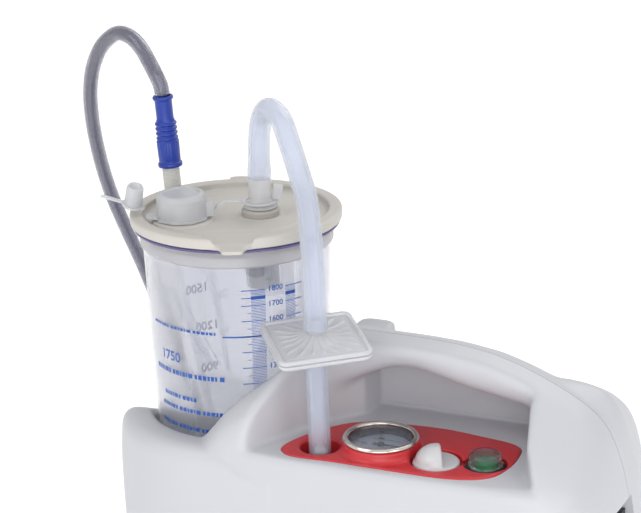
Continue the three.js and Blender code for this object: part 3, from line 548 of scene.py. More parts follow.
RECESS = [(-76, -110), (-64, -84), (-52, -58), (-42, -38), (-30, -18), (-12, 5), (-9, RECESS_BACK),
          (100, RECESS_BACK), (103, 0), (106, -25), (112, -50), (122, -70), (136, -110)]
UNDER = [(-30, 148), (-20, 152), (-5, 160), (5, 165), (18, 168.5), (32, 168), (45, 164.5), (57, 161),
         (80, 157), (99, 153.5), (115, 151)]
SCOOP = [(2, WALL_BACK), (100, WALL_BACK), (112, 110), (-12, 110)]
PANEL = [(-40, -60), (-37, -47), (-28, -29), (-15, -13), (2, -5), (24, -2.5), (45, -1.5), (68, -4.5),
         (88, -8), (97, -14), (99.5, -27), (99, -41), (95, -56), (86, -64.5), (72, -69), (54, -70.5),
         (20, -70.5), (-5, -70.5), (-28, -71.5), (-37, -67)]


def eased(table, spread=5.0):
    """A table of (at, value) read as a smooth line: straight pieces averaged over a short reach."""
    xs, values = np.array(table, float).T
    fine = np.arange(xs[0] - 30, xs[-1] + 30, 0.5)
    raw = np.interp(fine, xs, values)
    reach = np.arange(-3 * spread, 3 * spread + 0.1, 0.5)
    weight = np.exp(-0.5 * (reach / spread) ** 2)
    pad = len(reach) // 2
    soft = np.convolve(np.pad(raw, pad, mode="edge"), weight / weight.sum(), mode="valid")[:len(fine)]
    return lambda at: np.interp(at, fine, soft)


spine, crown, shoulder, under = eased(SPINE, 4), eased(CROWN, 2.5), eased(SHOULDER), eased(UNDER)
rim = eased(RIM, 6)


def ramp(value, start, end):
    t = np.clip((value - start) / (end - start), 0, 1)
    return t * t * (3 - 2 * t)


def case_plan(x, y):
    """Distance to the plan outline: a half-round left end and rounded right corners."""
    left = np.hypot(x - WELL_X, y) - HALF_DEPTH
    qx, qy = x - (RIGHT_END - RIGHT_CORNER), np.abs(y) - (HALF_DEPTH - RIGHT_CORNER)
    return np.where(x < WELL_X, left, corner_distance(qx, qy, RIGHT_CORNER))


def case_top(x, y):
    back_hump = shoulder(x) * ramp(y, 3, 26) * ramp(x, 100, 116)
    fall = crown(np.abs(y)) + 4 * ramp(y, 0, 36)
    top = spine(x) - fall + back_hump
    return np.where(x < -40, smooth_max(top, rim(y), 5.0), top)


class GridMap:
    """One or more plan shapes kept on a grid, for a field that asks for them many times."""

    def __init__(self, low, high, step, shapes):
        self.low, self.step = low, step
        rows, columns = (np.arange(a, b, step) for a, b in zip(low, high))
        gx, gy = np.meshgrid(rows, columns, indexing="ij")
        self.maps = np.stack(shapes(gx, gy))

    def __call__(self, x, y):
        m = self.maps
        u = np.clip((x - self.low[0]) / self.step, 0, m.shape[1] - 1.001)
        v = np.clip((y - self.low[1]) / self.step, 0, m.shape[2] - 1.001)
        i, j = u.astype(int), v.astype(int)
        fu, fv = u - i, v - j
        return (m[:, i, j] * (1 - fu) * (1 - fv) + m[:, i + 1, j] * fu * (1 - fv)
                + m[:, i, j + 1] * (1 - fu) * fv + m[:, i + 1, j + 1] * fu * fv)


def case_maps(x, y):
    top = case_top(x, y)
    tx, ty = np.gradient(top, 1.0)
    steep = 1 / np.sqrt(1 + tx**2 + ty**2)
    return case_plan(x, y), top, steep, outline_distance(x, y, RECESS), outline_distance(x, y, SCOOP)


case_map = GridMap((-190, -100), (191, 101), 1.0, case_maps)


def handle_stop(x, y, z):
    (x0, x1), (y0, y1), corner = STOP["x"], STOP["y"], STOP["corner"]
    across = np.abs(x - (x0 + x1) / 2) - (x1 - x0) / 2
    along = np.abs(y - (y0 + y1) / 2) - (y1 - y0) / 2
    return smooth_max(smooth_max(across, along, corner), np.maximum(z - STOP["top"], STOP["foot"] - z), 3.0)


def case_skin(x, y, z, closed=True):
    """Distance to the outside of the case."""
    plan, top, steep, recess, scoop = case_map(x, y)
    draft = 0.002 * np.maximum(0, z - 90) ** 2 + 0.00035 * np.maximum(0, 90 - z) ** 2
    plan = plan + np.minimum(2.5, draft) * ramp(-x, 20, 60)
    body = smooth_max(plan, (z - top) * steep, TOP_ROUND)
    if closed:
        body = smooth_max(body, FEET - z, 2.0)
    handle = smooth_max(HANDLE_FRONT - y, under(x) - z, HANDLE_ROUND)
    hand = smooth_max(smooth_max(recess, FLOOR_Z - z, EDGE_ROUND), -handle, HAND_ROUND)
    body = smooth_max(body, -hand, 5.0)
    thumb = smooth_max(scoop, SCOOP_Z - z, 6.0)
    body = smooth_max(body, -thumb, EDGE_ROUND)
    body = smooth_min(body, handle_stop(x, y, z), EDGE_ROUND)
    well = smooth_max(np.hypot(x - WELL_X, y) - (bottle_radius(z) + WELL_GAP), WELL_FLOOR - z, EDGE_ROUND)
    return smooth_max(body, -well, EDGE_ROUND)


def case_hollow(x, y, z):
    """Distance to the space inside: a wall's thickness in, open below, and clear of the inlet's pocket."""
    inside = np.maximum(case_skin(x, y, z, closed=False) + WALL, FEET - 4 - z)
    x0, x1, y0, y1, z0, z1 = INLET
    pocket = np.maximum.reduce([x0 - x, x - x1, y0 - y, y - y1, z0 - z, z - z1])
    return np.maximum(inside, WALL - pocket)


def closed_curve(points, steps=8):
    """A smooth closed outline through the points."""
    p = np.asarray(points, float)
    out = []
    for i in range(len(p)):
        a, b, c, d = (p[(i + k) % len(p)] for k in (-1, 0, 1, 2))
        for t in np.arange(steps) / steps:
            out.append(0.5 * (2 * b + (c - a) * t + (2 * a - 5 * b + 4 * c - d) * t**2
                              + (3 * b - a - 3 * c + d) * t**3))
    return np.array(out)


PANEL_EDGE = closed_curve(PANEL)
CUPS = [(PORT, 12.0, 12.0), (KNOB, 15.5, 4.0), (SWITCH, 12.8, 4.0)]      # middle, radius, depth


def grown(outline, by):
    """A closed outline moved outwards, or inwards if by is negative."""
    ahead, behind = np.roll(outline, -1, axis=0), np.roll(outline, 1, axis=0)
    x, y = outline.T
    area = np.sum(x * np.roll(y, -1) - np.roll(x, -1) * y)
    along = (ahead - behind) / np.linalg.norm(ahead - behind, axis=1)[:, None]
    return outline + np.c_[along[:, 1], -along[:, 0]] * by * np.sign(area)


def drop_islands(made, least):
    """Removes loose bits that are smaller than `least` millimetres, which a thin edge can leave."""
    mesh = made.data
    pairs = np.empty(2 * len(mesh.edges), int)
    mesh.edges.foreach_get("vertices", pairs)
    a, b = pairs.reshape(-1, 2).T
    label = np.arange(len(mesh.vertices))
    while True:
        low = np.minimum(label[a], label[b])
        new = label.copy()
        np.minimum.at(new, a, low)
        np.minimum.at(new, b, low)
        new = new[new]
        if (new == label).all():
            break
        label = new
    points = np.array([v.co for v in mesh.vertices])
    names, island = np.unique(label, return_inverse=True)
    high, bottom = np.full((len(names), 3), -9.0), np.full((len(names), 3), 9.0)
    np.maximum.at(high, island, points)
    np.minimum.at(bottom, island, points)
    kept = ((high - bottom).max(axis=1) > least * MM)[island]
    faces = [list(p.vertices) for p in mesh.polygons if kept[p.vertices[0]]]
    renumbered = np.cumsum(kept) - 1
    clean = bpy.data.meshes.new(made.name)
    clean.from_pydata(points[kept].tolist(), [], [[int(renumbered[i]) for i in f] for f in faces])
    made.data = clean


def make_case():
    outside = net(case_skin, (-176, -81, FEET), (169, 81, 190), CASE_CELL)
    hollow = net(case_hollow, (-174, -79, FEET - 4), (167, 79, 188), HOLLOW_CELL)
    inlet = [block(*INLET), block(*INLET_OPENING)]
    panel_seat = [prism(grown(PANEL_EDGE, 0.25), PANEL_Z - 2.6, 142), prism(grown(PANEL_EDGE, -4), 112, 132)]
    for at, r, _ in CUPS:
        panel_seat.append(lathe([(0, 103), (r + 1.7, 103), (r + 1.7, 132), (0, 132)], at, 48, closed=False))
    x0, x1, *rest = VENT
    vents = [block(x0 + VENT_STEP * i, x1 + VENT_STEP * i, *rest) for i in range(VENTS)]
    grey = plastic("case_grey", (190, 191, 196), 0.42, grain=0.012, scale=1500, spread=0.012)
    halves = (("front", "INTERSECT", -SEAM, 0.0, inlet + panel_seat),
              ("back", "DIFFERENCE", SEAM, SEAM, inlet + vents))
    x0, x1, y0, y1, z0, z1 = TONGUE
    for side, operation, seam, gap, openings in halves:
        half = loose(side + "_case", *outside)
        region = loose("region", *block(-200, 200, -120, seam, -5, 300))
        tongue = block(x0 - gap, x1 + gap, y0, y1 + gap, z0 - gap, z1 + gap)
        cut(region, loose("tongue", *tongue), "UNION")
        cut(half, region, operation)
        cut(half, loose("hollow", *hollow))
        for opening in openings:
            cut(half, loose("opening", *opening))
        drop_islands(half, 20)
        dress(half, grey, "root", "case_" + side, (side + "_shell",), 50)


make_case()


# ---- control panel, gauge, knob and switch ----
GAUGE_COLLAR = 23.4     # outer radius of the red collar round the gauge


def make_panel():
    plan = GridMap((-50, -82), (110, 8), 0.5, lambda x, y: [outline_distance(x, y, PANEL_EDGE)])

    def field(x, y, z):
        sheet = smooth_max(plan(x, y)[0], np.abs(z - (PANEL_Z - 1.2)) - 1.2, 1.6)
        for at, r, depth in CUPS:
            high = np.maximum(z - PANEL_Z + 1, PANEL_Z - depth - 1.6 - z)
            sheet = np.minimum(sheet, np.maximum(off_axis(x, y, at) - r - 1.4, high))
        high = np.maximum(z - PANEL_Z - 6, PANEL_Z - 2.4 - z)
        collar = smooth_max(off_axis(x, y, GAUGE) - GAUGE_COLLAR + 0.12 * (z - PANEL_Z - 6), high, 1.0)
        sheet = smooth_min(sheet, collar, 3.5)
        for at, r, depth in CUPS:
            hole = smooth_max(off_axis(x, y, at) - r, PANEL_Z - depth - z, 1.5)
            sheet = smooth_max(sheet, -hole, 2.4)
        for at, r in ((PORT, 5.4), (KNOB, 4.4), (SWITCH, 8.6), (GAUGE, 20.4)):
            sheet = smooth_max(sheet, r - off_axis(x, y, at), 0.8)
        return sheet

    verts, faces = net(field, (-41, -73, 115), (101, 0, 136), PANEL_CELL)
    piece("panel_insert", verts, faces, red, "root", "panel_red", ("control_panel",), 180)


def ribbon(inner, outer, at, z, angle, width):
    """A flat radial mark on a dial, as four corners."""
    c, s = math.cos(angle), math.sin(angle)
    corners = []
    for r, w in ((inner, -1), (outer, -1), (outer, 1), (inner, 1)):
        corners.append((at[0] + r * c - w * width / 2 * s, at[1] + r * s + w * width / 2 * c, z))
    return corners


def thin_plates(quads, depth, normal=(0, 0, 1)):
    """Closed thin plates from lists of four corners."""
    verts, faces = [], []
    down = np.array(normal, float) * depth
    for q in quads:
        n = len(verts)
        verts += [np.array(p, float) for p in q] + [np.array(p, float) - down for p in q]
        faces += [[n, n + 1, n + 2, n + 3], [n + 7, n + 6, n + 5, n + 4]]
        faces += [[n + i, n + 4 + i, n + 4 + (i + 1) % 4, n + (i + 1) % 4] for i in range(4)]
    return verts, faces


def text_mesh(text, size):
    """Flat outlines of generic digits, as (points, faces), centred, in the units of size."""
    curve = bpy.data.curves.new("digits", "FONT")
    curve.body, curve.size, curve.align_x, curve.align_y = text, size, "CENTER", "CENTER"
    curve.resolution_u = 3
    curve.offset = 0.012 * size
    holder = bpy.data.objects.new("digits", curve)
    bpy.context.scene.collection.objects.link(holder)
    mesh = bpy.data.meshes.new_from_object(holder.evaluated_get(bpy.context.evaluated_depsgraph_get()))
    verts = np.array([v.co[:] for v in mesh.vertices]).reshape(-1, 3)
    faces = [list(p.vertices) for p in mesh.polygons]
    bpy.data.objects.remove(holder)
    return verts, faces


def thickened(verts, faces, lift):
    """A flat patch made into a closed thin body: lift(points, above) puts both its faces in place."""
    n = len(verts)
    count = {}
    for f in faces:
        for a, b in zip(f, f[1:] + f[:1]):
            count[(a, b)] = count.get((a, b), 0) + 1
    rim = [(a, b) for a, b in count if (b, a) not in count]
    both = np.concatenate([lift(verts, 1), lift(verts, 0)])
    skin = [list(f) for f in faces] + [[n + i for i in reversed(f)] for f in faces]
    skin += [[b, a, n + a, n + b] for a, b in rim]
    return both, skin


def joined(parts):
    verts, faces, start = [], [], 0
    for v, f in parts:
        verts.append(np.asarray(v, float).reshape(-1, 3))
        faces += [[start + i for i in face] for face in f]
        start += len(verts[-1])
    return np.concatenate(verts), faces


DIAL_Z = 130.4
DIAL_SWEEP = 250                    # degrees, clockwise from +X
MARKS_R, NUMBERS_R = 17.2, 11.6     # where the marks end and where the numbers stand
INK = 0.08                          # thickness of all printed marks


def make_gauge():
    bezel = [(19.9, 135.3), (22.9, 135.3), (23.4, 136.2), (22.4, 137.6), (20.4, 137.6), (19.5, 136.6)]
    piece("gauge_chrome", *turned(bezel, 0.7, GAUGE, 128), chrome, "root", "chrome", ("gauge_bezel",), 180)
    # A black ring under the edge of the glass, round the dial: painted shade where the bezel's shadow falls
    # on the dial's rim.
    shadow_ring = [(18.3, 134.0), (19.4, 134.2), (19.4, 135.2), (18.9, 135.2), (18.1, 134.6)]
    piece("gauge_painted_shade_ring", *turned(shadow_ring, 0.2, GAUGE), black, "root", "gauge_steel")
    glass = [(0, 135.3), (19.4, 135.3), (19.4, 136.0), (12, 136.6), (0, 136.8)]
    piece("gauge_window", *turned(glass, 0.2, GAUGE, closed=False), window, "root", "clear_glass",
          ("gauge_glass",))
    dial = [(0, 129.6), (18.3, 129.6), (18.6, 129.9), (18.3, 130.3), (0, 130.3)]
    piece("gauge_face", *lathe(dial, GAUGE, 72, closed=False), dial_paint, "root", "dial_face",
          ("gauge_dial",), 30)
    make_dial_marks()
    make_needle()


def make_dial_marks():
    """Plain marks, an arc round their ends, and a generic number at each quarter of the sweep."""
    x, y = GAUGE
    sweep_angle = -math.radians(DIAL_SWEEP)
    marks = []
    for i in range(41):
        major = i % 10 == 0
        start, width = (14.4, 0.55) if major else (15.8, 0.25)
        marks.append(ribbon(start, MARKS_R, GAUGE, DIAL_Z, sweep_angle * i / 40, width))
    parts = [thin_plates(marks, INK)]
    for i in range(5):
        angle = sweep_angle * i / 4
        verts, faces = text_mesh(str(20 * i), 3.6)
        at = np.array((x + NUMBERS_R * math.cos(angle), y + NUMBERS_R * math.sin(angle), DIAL_Z))
        parts.append(thickened(verts, faces, lambda v, up: v + at - (0, 0, INK * (1 - up))))
    arc = [ribbon(MARKS_R, 17.6, GAUGE, DIAL_Z, sweep_angle * (i + 0.5) / 60, 1.35) for i in range(60)]
    parts.append(thin_plates(arc, INK))
    piece("gauge_scale", *joined(parts), ink_dark, "root", "needle_black", (), 30)


def make_needle():
    x, y = GAUGE
    hub = [(0, 130.8), (2.2, 130.8), (2.2, 132.2), (1.6, 132.7), (0, 132.8)]
    half = [(-5, 1.1), (4, 0.75), (14, 0.12)]
    hand = [(x + u, y - v) for u, v in half] + [(x + u, y + v) for u, v in reversed(half)]
    solids = [turned(hub, 0.25, GAUGE, 40, closed=False), prism(hand, 131.3, 131.8)]
    piece("gauge_hand", *joined(solids), black, "needle", "needle_black", ("gauge_needle",), 30)


SEAT_Z = PANEL_Z - 4                # the floor of the knob's and the switch's cups
KNOB_TURN = math.radians(24)
KNOB_R, DOME_R, DOME_HEIGHT = 14.4, 13.0, 11.3


def make_knob():
    """A low disc with half a dome on it: the dome's cut face is the pointer."""
    def field(x, y, z):
        u = (x - KNOB[0]) * math.cos(KNOB_TURN) + (y - KNOB[1]) * math.sin(KNOB_TURN)
        r, h = off_axis(x, y, KNOB), z - SEAT_Z
        disc = smooth_max(r - KNOB_R + 0.12 * h, np.maximum(h - 4.0 + 0.05 * r, 0.4 - h), 1.4)
        dome = (np.sqrt((r / DOME_R) ** 2 + (np.maximum(h - 2, 0) / DOME_HEIGHT) ** 2) - 1) * 11.5
        half = smooth_max(smooth_max(dome, u - 3.8 + 0.08 * h, 1.4), 2.0 - h, 0.5)
        body = smooth_min(disc, half, 1.4)
        return np.maximum(body, -np.maximum(r - 2.5, h - 6.2))

    low, high = (KNOB[0] - 15, KNOB[1] - 15, SEAT_Z), (KNOB[0] + 15, KNOB[1] + 15, SEAT_Z + 14)
    verts, faces = net(field, low, high, 0.6)
    piece("vacuum_knob", verts, faces, knob_white, "knob", "white_plastic", ("regulator_knob",), 180)


def make_switch():
    seat = SEAT_Z
    body = [(7.6, 108), (8.2, 108), (8.2, seat + 0.3), (12.2, seat + 0.3), (12.3, seat + 1.6),
            (11.2, seat + 2.4), (9.9, seat + 2.4), (9.9, seat + 1.2), (7.6, seat + 1.2)]
    piece("switch_body", *turned(body, 0.35, SWITCH), black, "root", "black_plastic", ("switch_housing",))
    lens = [(0, 117.2), (7.2, 117.2), (7.2, seat + 5.2), (6.0, seat + 6.1), (0, seat + 6.3)]
    piece("switch_lens", *turned(lens, 0.6, SWITCH, 72, closed=False), green, "button", "green_lens",
          ("switch_button",), 50)
    cap = [(8.5, seat + 2.7), (10.6, seat + 2.7), (10.6, seat + 3.6), (9.9, seat + 4.0), (9.6, seat + 9.4),
           (8.2, seat + 10.5), (0, seat + 10.7), (0, seat + 9.5), (7.6, seat + 9.3), (8.5, seat + 8.4)]
    radii = [0.2, 0.3, 0.2, 0.3, 0.8, 1.2, 0, 0, 0.6, 0.5]
    piece("switch_cover", *turned(cap, radii, SWITCH), cap_clear, "root", "clear_cap", ("switch_cap",))


# ---- bottle with its printed scale ----
def make_bottle():
    r, t = bottle_radius, BOTTLE_WALL
    foot, top = BOTTLE_BASE_Z, BOTTLE_TOP_Z
    neck, bead = r(230) + 0.6, r(236) + 1.6
    outline = [
        (0, foot + 3.4), (r(foot) - 12, foot + 3), (r(foot) - 8, foot), (r(foot) - 2, foot),
        (r(foot), foot + 3), (r(236), 236), (r(236), 249.4), (neck, 249.9), (neck, top), (neck - t, top),
        (r(228) - t, 228), (r(foot) - t, foot + 6), (r(foot) - t - 3, foot + 5), (0, foot + 5.4),
    ]
    radii = [0, 2, 2, 1.5, 2, 1, 0.2, 0.2, 0.4, 0.5, 8, 2.5, 2, 0]
    collar = [(r(236) + 0.05, 236.4), (bead, 238), (bead, 247.2), (bead + 1.1, 248.2), (bead + 1.1, 249.6),
              (r(236) + 0.05, 249.6)]
    flange = [(bead + 1.2, 248.2), (65, 248.2), (65, 249.6), (bead + 1.2, 249.6)]
    for name, profile, corners, material, replaces in (
            ("bottle_body", outline, radii, bottle_clear, ("bottle",)),
            ("bottle_collar", collar, [0.1, 0.8, 0.4, 0.3, 0.2, 0.1], bottle_frosted, ()),
            ("bottle_flange", flange, 0.4, flange_violet, ())):
        solid = turned(profile, corners, (WELL_X, 0), 144)
        piece(name, *solid, material, "bottle_set", "bottle_clear", replaces, 60)


SCALE_FOOT_Z = BOTTLE_BASE_Z + 1.5              # height of 0 ml
SCALE_FACING, BACK_FACING = math.radians(-46), math.radians(145)
COLUMN, SECOND_COLUMN = -2.0, 11.2              # where the two columns of marks begin, round the bottle
DASHES = (2.6, 1.5, 2.1, 1.2, 3.0, 1.8, 2.4)      # plain marks in the place of printed words
ROWS = [(-84, -30, 194, 1.8), (-84, -27, 164, 3.0), (-76, -46, 148, 2.6), (-79, -30, 140, 2.6),
        (-80, -34, 128, 2.6)]                     # from, to, height on the bottle, height of the marks
BACK_NUMBERS = [(1500, 1, 187), (1200, -5, 160), (900, -5, 131)]                   # number, place, height
SLANT = (17, 192, -13, 131)                     # the tilted line's two ends on the back


def scale_height(ml):
    """Height of a volume of liquid in the tapering bottle."""
    foot = bottle_radius(SCALE_FOOT_Z) - BOTTLE_WALL
    return SCALE_FOOT_Z + ((3 * TAPER * ml * 1000 / math.pi + foot**3) ** (1 / 3) - foot) / TAPER


def on_bottle(facing):
    """Returns what lays flat points on the bottle: (millimetres round it from a facing, height)."""
    def lay(points, above):
        r = bottle_radius(points[:, 1]) + 0.03 + INK * above
        a = facing + points[:, 0] / r
        return np.c_[WELL_X + r * np.cos(a), r * np.sin(a), points[:, 1]]
    return lay


def printed_line(lay, u0, z0, u1, z1, height):
    """A thin printed line on part of the bottle."""
    count = max(1, int(abs(u1 - u0) / 3))
    flat = []
    for t in np.linspace(0, 1, count + 1):
        u, z = u0 + (u1 - u0) * t, z0 + (z1 - z0) * t
        flat += [(u, z - height / 2, 0), (u, z + height / 2, 0)]
    faces = [[2 * i, 2 * i + 2, 2 * i + 3, 2 * i + 1] for i in range(count)]
    return thickened(np.array(flat), faces, lay)


def printed_number(lay, number, u, z, size):
    verts, faces = text_mesh(str(number), size)
    return thickened(verts + (u, z, 0), faces, lay)


def front_marks():
    """Graduations 10 ml apart in two columns, a number at each 100 ml, two longer rules, and rows of plain
    dashes in the place of words."""
    lay, parts = on_bottle(SCALE_FACING), []
    for ml in range(100, 1810, 10):
        z = scale_height(ml)
        long, half, full = ml % 100 == 0, ml % 50 == 0, ml == 1750
        reach = 15.0 if long else 9.0 if full or not half else 11.5
        height = 0.55 if long else 2.3 if full else 0.3
        parts.append(printed_line(lay, COLUMN - reach, z, COLUMN, z, height))
        parts.append(printed_line(lay, SECOND_COLUMN, z, SECOND_COLUMN + reach * 0.8, z, height))
        if long:
            parts.append(printed_number(lay, ml, 4.5, z, 5.0))
    for ml, reach, height in ((1750, 15, 0.5), (1500, 27, 1.0)):
        parts.append(printed_line(lay, COLUMN - reach, scale_height(ml), COLUMN, scale_height(ml), height))
    parts.append(printed_number(lay, 1750, -68, 174, 9.0))
    for u, end, z, height in ROWS:
        for i in range(100):
            length = DASHES[i % len(DASHES)]
            if u + length > end:
                break
            parts.append(printed_line(lay, u, z, u + length, z, height))
            u += length + (1.8 if i % 6 == 5 else 0.7)
    return joined(parts)


def back_marks():
    """A tilted scale on the back, seen through the bottle from inside."""
    lay = on_bottle(BACK_FACING)
    parts = [printed_number(lay, number, u, z, 8.5) for number, u, z in BACK_NUMBERS]
    u0, z0, u1, z1 = SLANT
    parts.append(printed_line(lay, u0, z0, u1, z1, 0.7))
    for i in range(45):
        z = z1 + (z0 - z1) * i / 44
        u = u1 + (u0 - u1) * i / 44 + 3
        reach = 12 if i % 5 == 0 else 7
        parts.append(printed_line(lay, u, z, u + reach, z + 0.45 * reach, 0.3))
    return joined(parts)


def make_scale():
    piece("bottle_scale_front", *front_marks(), ink_blue, "bottle_set", None, (), 30)
    piece("bottle_scale_back", *back_marks(), ink_blue, "bottle_set", None, (), 30)


# ---- lid and what stands on it ----
LID_TABS = (-66.0, 114.0)               # facings of the two finger tabs, the sunk one first
LID_EDGE, LID_LIP = 5.4, 1.3            # how far the lid's edge reaches below and above its top
NECK_HALF, GROOVE = 1.7, 3.55           # half the width of the groove for the bottle's neck, and its depth
PLUG_HALF, PLUG_IN, PLUG_DEPTH = 0.85, 4.05, 14     # the ring inside the neck: half width, place, depth
LID_CELL = 0.85                         # mesh size


def make_lid():
    top, room = LID_Z, bottle_radius(230) + 0.9
    half_tab = [(40, 22), (55, 17.5), (62, 13), (LID_R, 10), (LID_R + 4.5, 7.4), (LID_R + 9.2, 6.2),
                (LID_R + 10.4, 3.5)]
    tab = closed_curve([(u, -v) for u, v in half_tab] + half_tab[::-1], 6)
    plan = GridMap((30, -30), (84, 30), 0.5, lambda x, y: [outline_distance(x, y, tab)])

    def field(x, y, z):
        u, v = x - WELL_X, y
        r = np.hypot(u, v)
        floor = top - 1.6 - ramp(r, 45.5, 47.0)
        plate = np.maximum(r - LID_R + 5, z - floor)        # the floor of the dish
        wall = smooth_max(LID_R - 8.4 - r - 0.25 * (z - top), r - LID_R + 0.05 * (top - z), 1.0)
        body = smooth_min(plate, smooth_max(wall, z - top - LID_LIP, 2.0), 0.8)
        body = smooth_max(body, (top - LID_EDGE) - z, 1.2)
        body = np.maximum(body, -np.maximum(np.abs(r - room + NECK_HALF) - NECK_HALF, z - (top - GROOVE)))
        ring = np.abs(r - room + PLUG_IN) - PLUG_HALF
        plug = np.maximum(ring, np.maximum(top - PLUG_DEPTH - z, z - (top - 3)))
        body = np.minimum(body, plug)
        for facing in LID_TABS:
            a = math.radians(facing)
            tu, tv = u * math.cos(a) + v * math.sin(a), -u * math.sin(a) + v * math.cos(a)
            level = top - 2.2 - 0.035 * np.maximum(0, tu - LID_R) * (1 if facing < 0 else -6)
            spade = plan(tu, tv)[0]
            if facing < 0:
                body = smooth_max(body, -smooth_max(spade, level - z, 2.0), 2.5)
            body = smooth_min(body, smooth_max(spade, np.abs(z - level + 1.3) - 1.3, 1.0), 1.6)
        from_pour = off_axis(x, y, POUR)
        bosses = [smooth_max(np.abs(from_pour - 11.2) - 1.5, z - top - 9.2, 0.6),
                  smooth_max(from_pour - POUR_R - 3.0, z - top + 0.6, 0.8),
                  smooth_max(off_axis(x, y, VACUUM) - 14.2, z - top + 1.2, 0.8),
                  smooth_max(off_axis(x, y, SPIGOT) - 8.6, z - top + 1.6, 0.8)]
        for boss in bosses:
            body = smooth_min(body, np.maximum(boss, top - 5 - z), 0.7)
        for at, hole in ((VACUUM, 6.4), (SPIGOT, 4.4), (POUR, 9.7)):
            body = np.maximum(body, hole - off_axis(x, y, at))
        return body

    verts, faces = net(field, (WELL_X - 76, -78, top - 15), (WELL_X + 76, 78, top + 10), LID_CELL)
    piece("lid_cover", verts, faces, ivory, "bottle_set", "lid_ivory", ("lid",), 180)


def make_pour_cap():
    z = LID_Z - 3.6
    cap = [(12.9, z + 3.4), (16.4, z + 3.4), (16.5, z + 4.4), (15.6, z + 5.0), (15.4, z + 16.6),
           (14.0, z + 19.4), (11.4, z + 19.8), (10.8, z + 18.9), (0, z + 18.6), (0, z + 17.2),
           (12.9, z + 17.2)]
    verts, faces = turned(cap, [0.3, 0.4, 0.4, 0.5, 2.0, 1.6, 0.5, 0.6, 0, 0, 0.6], POUR, 120)
    out = verts[:, :2] - POUR
    brim = (np.hypot(*out.T) > 15.7) & (verts[:, 2] < z + 4.9)
    wave = 1 + 0.03 * np.cos(9 * np.arctan2(out[:, 1], out[:, 0])) * brim
    verts[:, :2] = out * wave[:, None] + POUR
    shell = loose("pour_cap_body", verts, faces)
    turn = math.radians(32)
    spin = np.array([[math.cos(turn), -math.sin(turn)], [math.sin(turn), math.cos(turn)]])
    tab = [(-22.5, -2.4), (-20.5, -4.4), (-15, -6), (-14.6, 6), (-20.5, 4.4), (-22.5, 2.4)]
    hinge = [(14.4, -5), (20, -4.2), (20, 4.2), (14.4, 5)]
    for corners, radius, low, high in ((tab, 1.5, 4.6, 6.2), (hinge, 0.8, 4.4, 13.5)):
        plan = rounded(corners, radius, closed=True) @ spin.T + POUR
        cut(shell, loose("lug", *prism(plan, z + low, z + high)), "UNION")
    dress(shell, cap_white, "pour_cap", "cap_white", ("pour_cap",), 45)


def make_vacuum_port():
    z = FITTING_Z
    grey = [(6.4, z + 0.35), (11.6, z + 0.35), (11.9, z + 3.6), (10.8, z + 4.8), (6.4, z + 5.2)]
    piece("port_base", *turned(grey, 0.5, VACUUM), port_grey, "bottle_set", "lid_ivory")
    stem = [(3.4, z - 5.4), (6.1, z - 5.4), (6.1, z + 5.4), (10.6, z + 5.4), (10.6, z + 6.6), (8.6, z + 8.0),
            (7.3, z + 10.4), (7.0, z + 23.4), (6.2, z + 24.3), (3.4, z + 24.3)]
    piece("port_stem", *turned(stem, 0.4, VACUUM, 72), white_clear, "bottle_set", "clear_plastic",
          ("vacuum_port",))
    make_float(z - 5.7)


def make_float(seat):
    """The float and its slotted cage, which hangs from the underside of the lid at height seat."""
    tube = [(9, seat - 40), (10.4, seat - 40), (10.4, seat), (3.6, seat), (3.6, seat - 2), (9, seat - 2)]
    cage = loose("float_cage_body", *turned(tube, 0.4, VACUUM, 72))
    for facing in (45, 135):
        a = math.radians(facing)
        along, across = np.array((math.cos(a), math.sin(a))), np.array((-math.sin(a), math.cos(a)))
        corners = ((-2.6, -20), (2.6, -20), (2.6, 20), (-2.6, 20))
        plan = [np.array(VACUUM) + p * along + q * across for p, q in corners]
        cut(cage, loose("slot", *prism(plan, seat - 34, seat - 8)))
    ledge = [(5.8, seat - 40), (9.4, seat - 40), (9.4, seat - 38), (5.8, seat - 38)]
    cut(cage, loose("ledge", *turned(ledge, 0.3, VACUUM, 72)), "UNION")
    dress(cage, white_clear, "bottle_set", "white_plastic", ("float_cage",))
    ball = [(0, seat - 37.6), (7.6, seat - 37.6), (7.6, seat - 22), (4.6, seat - 18), (3, seat - 17),
            (0, seat - 17)]
    piece("float_body", *turned(ball, 0.8, VACUUM, 60, closed=False), cap_white, "float", "white_plastic",
          ("float_valve",))


def band(path, width, height, up=(0, 0, 1)):
    """A flat strap with rounded edges along a path."""
    p = smooth_line(path, 0.8)
    t = np.gradient(p, axis=0)
    t /= np.linalg.norm(t, axis=1)[:, None]
    side = np.cross(t, up)
    side /= np.linalg.norm(side, axis=1)[:, None]
    rise = np.cross(side, t)
    w, h = width / 2, height / 2
    ring = rounded([(-w, -h), (w, -h), (w, h), (-w, h)], height * 0.3, closed=True, steps=3)
    verts = np.concatenate([q + ring[:, :1] * a + ring[:, 1:] * b for q, a, b in zip(p, side, rise)])
    n, faces = len(ring), []
    for i in range(len(p) - 1):
        for k in range(n):
            near, next_to = i * n + k, i * n + (k + 1) % n
            faces.append([near, next_to, next_to + n, near + n])
    last = (len(p) - 1) * n
    faces += [list(range(n))[::-1], [last + k for k in range(n)]]
    return verts, outward(verts, faces)


